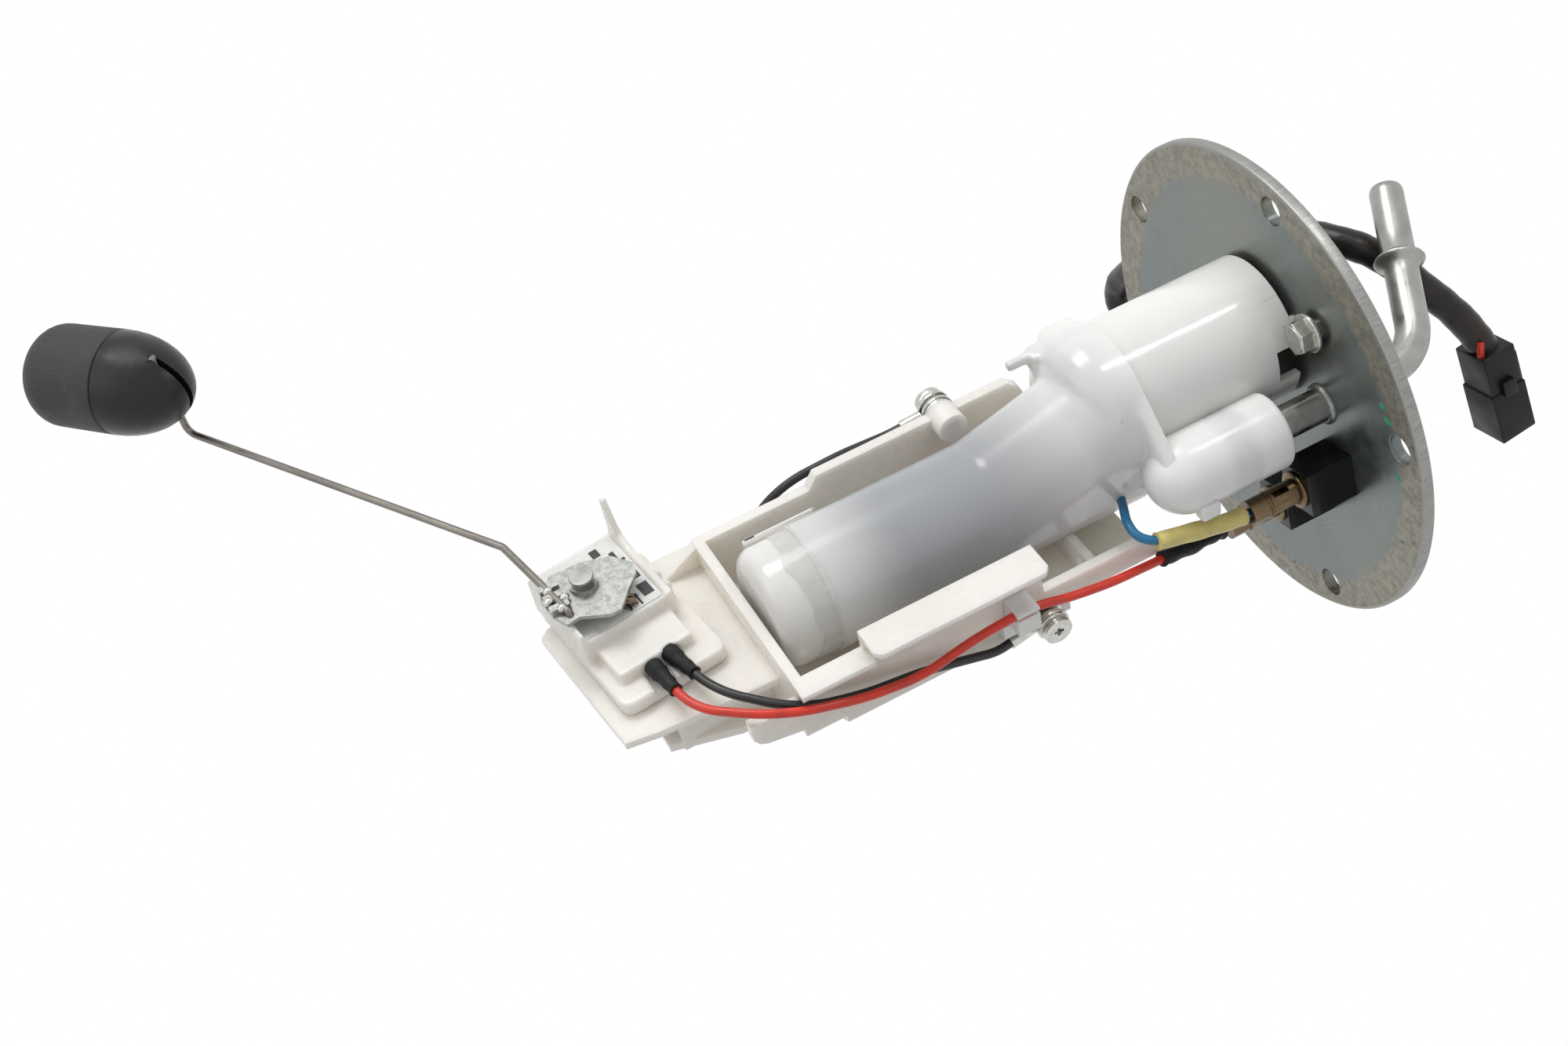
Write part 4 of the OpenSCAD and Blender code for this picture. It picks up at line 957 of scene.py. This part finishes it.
def shell_solid():
    """Collar round the strainer cover, shoulder, barrel and lug as overlapping closed bodies."""
    bm = bmesh.new()
    cx, cy = COVER_AT
    hull_of(bm, [(cx, cy, 38.0, COLLAR_R), (cx, cy, 47.5, COLLAR_R), (cx, cy, 50.4, COLLAR_R - 1.0),
                 (cx, cy, 52.6, COLLAR_R - 3.2), (cx, cy, 54.2, COLLAR_R - 6.6)])
    hull_of(bm, [(cx, cy, 38.0, COLLAR_R), (0, CAN_Y, 38.0, SHELL_R), (cx, cy, 46.4, COLLAR_R - 0.4),
                 (0, CAN_Y, 46.4, SHELL_R)])
    hull_of(bm, [(cx, cy, 38.0, COLLAR_R), (*PIPE_AT, 38.0, 8.3), (cx, cy, 43.0, COLLAR_R - 0.4),
                 (*PIPE_AT, 43.0, 6.4)])
    nose = ((36.0, 9.05), (37.0, 9.05), (40.4, 8.35), (43.2, 6.5), (45.2, 3.7), (46.0, 1.0))
    hull_of(bm, [(*PIPE_AT, z, radius) for z, radius in nose])
    hull_of(bm, [(-4.6, -19.5, 48.0, 14.0), (0, CAN_Y, 48.0, SHELL_R - 0.1), (0, CAN_Y, 76.0, SHELL_R - 0.1)])
    hull_of(bm, [(0, CAN_Y, 38.0, SHELL_R), (0, CAN_Y, 124.0, SHELL_R)])
    outline = [(8, 38), (14.2, 38), (16, 42), (16, 47.4), (14.6, 49.8), (12.8, 50.4), (12.8, 53.9),
               (12, 54.6), (8, 54.6)]
    face = bm.faces.new([bm.verts.new(mm(x, -31.5, z)) for x, z in outline])
    grown = bmesh.ops.extrude_face_region(bm, geom=[face], use_keep_orig=True)
    bmesh.ops.translate(bm, vec=mm(0, 5.5, 0),
                        verts=[g for g in grown["geom"] if isinstance(g, bmesh.types.BMVert)])
    block(bm, (10.0, -31, 53), (12.0, -28.5, 60))
    block(bm, (8, -27, 44), (13, -12, 53))
    bmesh.ops.recalc_face_normals(bm, faces=bm.faces)
    return bm


class PUMP_OT_shell(bpy.types.Operator):
    """Blends the milky pump shell into its collar and lug"""
    bl_idname = "pump.shell"
    bl_label = "Pump shell"

    def execute(self, context):
        bm = melted(shell_solid(), sizes().shell_voxel, sizes().shell_blend)
        for height, normal in ((0.0404, (0, 0, -1)), (0.120, (0, 0, 1))):
            cut = bmesh.ops.bisect_plane(bm, geom=bm.verts[:] + bm.edges[:] + bm.faces[:], dist=1e-7,
                                         plane_co=(0, 0, height), plane_no=normal, clear_outer=True)
            rim = [g for g in cut["geom_cut"] if isinstance(g, bmesh.types.BMEdge)]
            bmesh.ops.holes_fill(bm, edges=rim, sides=0)
        centre = mm(0, CAN_Y, 0)
        for vert in bm.verts:
            if vert.co.z > 0.0765:
                out = Vector((vert.co.x - centre.x, vert.co.y - centre.y, 0.0))
                if out.length > 0.0135:
                    vert.co += out.normalized() * (SHELL_R * 0.001 - out.length)
        solid = working_object(bm)
        pocket = disc_tool("pocket", COVER_AT, 17.6, 30.0, 47.0, 96)
        cut_away(solid, pocket)
        bm = bmesh_of(baked(solid))
        bpy.data.objects.remove(pocket)
        place("shell_moulding", bm, "shell", ["pump_shell"], 55.0)
        return {"FINISHED"}


class PUMP_OT_cap(bpy.types.Operator):
    """Turns the end cap and shrinks the sealing film over its joint"""
    bl_idname = "pump.cap"
    bl_label = "End cap"

    def execute(self, context):
        r = SHELL_R - 0.6
        profile = [(0, 119.2), (r - 1.6, 119.2), (r, 119.6), (r, 126.0)]
        profile += arc(r - 4.2, 128.8, 4.2, -5, 90, 12) + [(4.0, 133.0), (0, 132.9)]
        bm = lathe(profile, (0, CAN_Y), 96)
        place("cap_dome", bm, "cap", ["end_cap"], 60.0)
        wave = sizes().band_wave * 1000
        bm = bmesh.new()
        bmesh.ops.create_cone(bm, cap_ends=False, segments=144, radius1=(r + 0.75) * 0.001,
                              radius2=(r + 0.35) * 0.001, depth=0.006,
                              matrix=Matrix.Translation(mm(0, CAN_Y, 122)))
        upright = [e for e in bm.edges if abs((e.verts[0].co - e.verts[1].co).z) > 1e-3]
        bmesh.ops.subdivide_edges(bm, edges=upright, cuts=9, use_grid_fill=True)
        for vert in bm.verts:
            angle = math.atan2(vert.co.y - CAN_Y * 0.001, vert.co.x)
            lift = (vert.co.z - 0.119) / 0.006
            wander = (math.sin(angle * 3 + 0.6) + 0.5 * math.sin(angle * 7 + 2)
                      + 0.3 * math.sin(angle * 13)) / 1.8
            vert.co.z += (lift * wave * wander + (1 - lift) * 0.5 * math.sin(angle * 4 + 1)) * 0.001
            out = Vector((vert.co.x, vert.co.y - CAN_Y * 0.001, 0)).normalized()
            vert.co += out * 0.00012 * noise.noise(vert.co * 420)
        work = working_object(bm)
        modify(work, "SOLIDIFY", thickness=0.00022, offset=-1.0)
        place("cap_film", bmesh_of(baked(work)), "film", ["cap_collar"], 50.0)
        return {"FINISHED"}


class PUMP_OT_outlet_housing(bpy.types.Operator):
    """Turns the white outlet housing with its ball nose"""
    bl_idname = "pump.outlet_housing"
    bl_label = "Outlet housing"

    def execute(self, context):
        r = 9.2
        profile = [(4.05, 20.0), (4.05, 13.9)] + arc(4.65, 13.9, 0.6, 180, 270, 4)[1:]
        profile += arc(r - 1.3, 14.6, 1.3, -90, 0, 8) + [(r, 20), (r, 30)]
        profile += arc(0, 37.0, r, 0, 90, 24) + [(0, 45.4), (0, 20.0)]
        bm = lathe(profile, PIPE_AT, 96)
        place("outlet_moulding", bm, "outlet", ["outlet_housing"], 50.0)
        bm = bmesh.new()
        block(bm, (PIPE_AT[0] - 9.6, PIPE_AT[1] + 3, 33.6), (PIPE_AT[0] - 6, PIPE_AT[1] + 7.4, 38.6))
        bevel(bm, bm.edges[:], 0.0009, 4)
        place("outlet_lug", bm, "outlet", angle=50.0)
        paint_node("outlet_o_ring", "rubber")
        bm = lathe([(1.6, 28.0), (5.1, 28.0), (5.4, 28.3), (5.4, 38.0), (5.0, 38.6), (2.6, 38.8), (2.6, 43.4),
                    (1.6, 43.6), (1.6, 28.0)], PIPE_AT, 64)
        place("regulator_can", bm, "pipe", ["regulator_body"], 40.0)
        return {"FINISHED"}


class PUMP_OT_strainer(bpy.types.Operator):
    """Finishes the strainer cover and the filter tube in it"""
    bl_idname = "pump.strainer"
    bl_label = "Strainer"

    def execute(self, context):
        solid = working_object(solid_of("strainer_cover"))
        foot_zone = disc_tool("foot_zone", BOLT_AT, 12.0, -1.0, 6.0, 64)
        cover_zone = disc_tool("cover_zone", COVER_AT, 17.45, -2.0, 7.0, 128)
        cut_away(foot_zone, cover_zone)
        cut_away(solid, foot_zone)
        bm = merged(baked(solid))
        for spare in (foot_zone, cover_zone):
            bpy.data.objects.remove(spare)
        break_edges(bm, sizes().moulded_edge, 50.0, 3)
        place("cover_moulding", bm, "cover", ["strainer_cover"], 50.0, weighted=True)
        paint_node("strainer", "mesh")
        return {"FINISHED"}


# Tray and wiring, in mm

# Each sleeve: its CAD node, finish, radius, how much it bulges, and its route.
SLEEVES = (
    ("black_sleeve", "rubber", 1.85, 0.30,
     ((-22.5, 15.3, 27), (-23.6, 14, 31), (-26.2, 10.3, 39), (-28.8, 6.6, 47))),
    ("yellow_sleeve", "yellow", 2.1, 0.10,
     ((-30.7, 3.6, 26.5), (-31.2, 2, 33), (-30.7, 0.2, 41), (-30.2, -1.6, 49))))
# The tip and the pin end of each boot.
BOOTS = (((-10.3, -6, 158.3), (-0.9, -6, 159.7)), ((-8.3, -6, 152.8), (0.8, -6, 155)))

class PUMP_OT_tray(bpy.types.Operator):
    """Rounds the edges of the tray and makes the lead clip"""
    bl_idname = "pump.tray"
    bl_label = "Tray"

    def execute(self, context):
        rounded_node("tray", "tray", width=sizes().moulded_edge)
        rounded_node("cable_clip", "nylon", width=0.0005)
        return {"FINISHED"}


class PUMP_OT_leads(bpy.types.Operator):
    """Finishes the leads and makes the shrunk sleeves and boots on them"""
    bl_idname = "pump.leads"
    bl_label = "Leads"

    def execute(self, context):
        for node, finish in (("red_lead", "red"), ("black_lead", "black"), ("ground_lead", "black"),
                             ("blue_lead", "blue")):
            rounded_node(node, finish)
        for node, finish, base, wave, route in SLEEVES:
            path = chaikin([mm(*point) for point in route], 4)
            radii = [1 + wave / base * math.sin(i * 0.30) * math.sin(i * 0.11 + 1.0)
                     for i in range(len(path))]
            radii[0] = radii[-1] = 1.02
            bm = tube_mesh(node, path, base * 0.001, radii, 8)
            place(node + "_piece", bm, finish, [node], 50.0)
        boots = bmesh.new()
        for tip, pin in BOOTS:
            path = [mm(*pin).lerp(mm(*tip), i / 40) for i in range(41)]
            shape = [1.0 + (0.14 if i < 14 else 0.0) + 0.035 * math.sin(i * 0.5)
                     - 0.16 * max(0.0, (i - 14) / 26) for i in range(41)]
            shape[-1] *= 1.06
            part = tube_mesh("boot", path, 0.0018, shape, 8)
            mesh = bpy.data.meshes.new("boot")
            part.to_mesh(mesh)
            part.free()
            boots.from_mesh(mesh)
        place("boot_pair", boots, "rubber", ["terminal_boots"], 50.0)
        return {"FINISHED"}


# Level sender, in mm

CARD = Matrix.Translation(mm(23, 0, 164.3)) @ Matrix.Rotation(math.radians(-6.7), 4, "Y")
# The fan of resistor tracks: its centre on the card, first direction, step and inner end.
FAN_CENTRE, FAN_START, FAN_STEP, FAN_COUNT, FAN_INNER = (-2.6, -11.56, 0.4), 209, 2.4, 46, 5.4
# Straight tracks on the card, from x to x and z to z.
STRAIGHT_TRACKS = ((-12.2, -5.6, -5.4, -5.0), (-12.2, -8.6, -8.2, -7.7), (1.4, 6.2, -10.8, -9.6),
                   (7.0, 9.6, -8.2, -6.2), (2.2, 3.0, -12.0, -10.8))
ARM_CLIPS = ((16.0, 171.6), (19.4, 173.4), (18.6, 169.9), (22.4, 172.4))


class PUMP_OT_sender(bpy.types.Operator):
    """Finishes the sender housing and draws the resistor tracks on its card"""
    bl_idname = "pump.sender"
    bl_label = "Sender"

    def execute(self, context):
        bm = melted(solid_of("sender_housing"), 0.0004, 16)
        place("sender_moulding", bm, "tray", ["sender_housing"], 60.0)
        rounded_node("resistor_card", "card", width=0.0001)
        rounded_node("card_pads", "track")
        rounded_node("pivot_pin", "pipe", width=0.0002)
        width = sizes().track_width * 1000
        bm = bmesh.new()
        for index in range(FAN_COUNT):
            turned = FAN_START + index * FAN_STEP
            outer = (11.3 if index % 5 == 0 else 10.8) if turned < 237 else 9.2
            turn = Matrix.Translation(mm(*FAN_CENTRE)) @ Matrix.Rotation(-math.radians(turned), 4, "Y")
            block(bm, (FAN_INNER, -0.02, -width / 2), (outer, 0.02, width / 2), CARD @ turn)
        for x0, x1, z0, z1 in STRAIGHT_TRACKS:
            block(bm, (x0, -11.58, z0), (x1, -11.52, z1), CARD)
        place("card_tracks", bm, "track", angle=30.0)
        return {"FINISHED"}


class PUMP_OT_wiper(bpy.types.Operator):
    """Finishes the wiper plate, its clips, contacts and the float arm"""
    bl_idname = "pump.wiper"
    bl_label = "Wiper and arm"

    def execute(self, context):
        rounded_node("wiper_plate", "plate", "arm", width=0.00022)
        rounded_node("wiper_contacts", "bronze", "arm")
        rounded_node("float_arm", "wire", "arm")
        for index, (x, z) in enumerate(ARM_CLIPS):
            bm = bmesh.new()
            bmesh.ops.create_uvsphere(bm, u_segments=24, v_segments=16, radius=0.00105)
            for vert in bm.verts:
                vert.co.y *= 0.9
                vert.co.z *= 1.15
            bmesh.ops.translate(bm, verts=bm.verts, vec=mm(x, -17.1, z))
            place("arm_clip_%d" % (index + 1), bm, "bolt", angle=60.0, body="arm")
        return {"FINISHED"}


class PUMP_OT_float(bpy.types.Operator):
    """Finishes the foam barrel and the glossy cap of the float"""
    bl_idname = "pump.float"
    bl_label = "Float"

    def execute(self, context):
        rounded_node("float_body", "foam", "float")
        rounded_node("float_cap", "float_cap", "float")
        return {"FINISHED"}


class PUMP_OT_inside(bpy.types.Operator):
    """Finishes the pump, regulator and valve pieces inside the nylon"""
    bl_idname = "pump.inside"
    bl_label = "Inner pieces"

    def execute(self, context):
        for node, finish in (("pump_can", "can"), ("inlet_casing", "cast"), ("outlet_casing", "cast"),
                             ("impeller", "plug"), ("magnets", "ferrite"), ("rotor", "wire"),
                             ("brush_holder", "nylon"), ("brushes", "ferrite"), ("check_valve", "plug"),
                             ("regulator_valve", "wire"), ("regulator_spring", "wire")):
            paint_node(node, finish)
        return {"FINISHED"}


STEPS = [PUMP_OT_camera, PUMP_OT_harness, PUMP_OT_stage, PUMP_OT_flange, PUMP_OT_outlet_pipe,
         PUMP_OT_fasteners, PUMP_OT_feed_through, PUMP_OT_strainer, PUMP_OT_shell, PUMP_OT_cap,
         PUMP_OT_outlet_housing, PUMP_OT_tray, PUMP_OT_leads, PUMP_OT_sender, PUMP_OT_wiper, PUMP_OT_float,
         PUMP_OT_inside]


class PUMP_PT_panel(bpy.types.Panel):
    """Lists the steps and the sizes and colours that they use"""
    bl_idname = "PUMP_PT_panel"
    bl_label = "Fuel pump"
    bl_space_type = "VIEW_3D"
    bl_region_type = "UI"
    bl_category = "Fuel pump"

    def draw(self, context):
        layout = self.layout
        for step in STEPS:
            layout.operator(step.bl_idname)
        for group in (context.scene.pump_sizes, context.scene.pump_colours):
            box = layout.box()
            for key in group.__annotations__:
                box.prop(group, key)


CLASSES = [PumpSizes, PumpColours, *STEPS, PUMP_PT_panel]


def register():
    for item in CLASSES:
        bpy.utils.register_class(item)
    bpy.types.Scene.pump_sizes = PointerProperty(type=PumpSizes)
    bpy.types.Scene.pump_colours = PointerProperty(type=PumpColours)


def unregister():
    del bpy.types.Scene.pump_sizes
    del bpy.types.Scene.pump_colours
    for item in reversed(CLASSES):
        bpy.utils.unregister_class(item)


def main():
    register()
    for step in STEPS:
        group, name = step.bl_idname.split(".")
        getattr(getattr(bpy.ops, group), name)()


if __name__ == "__main__":
    main()
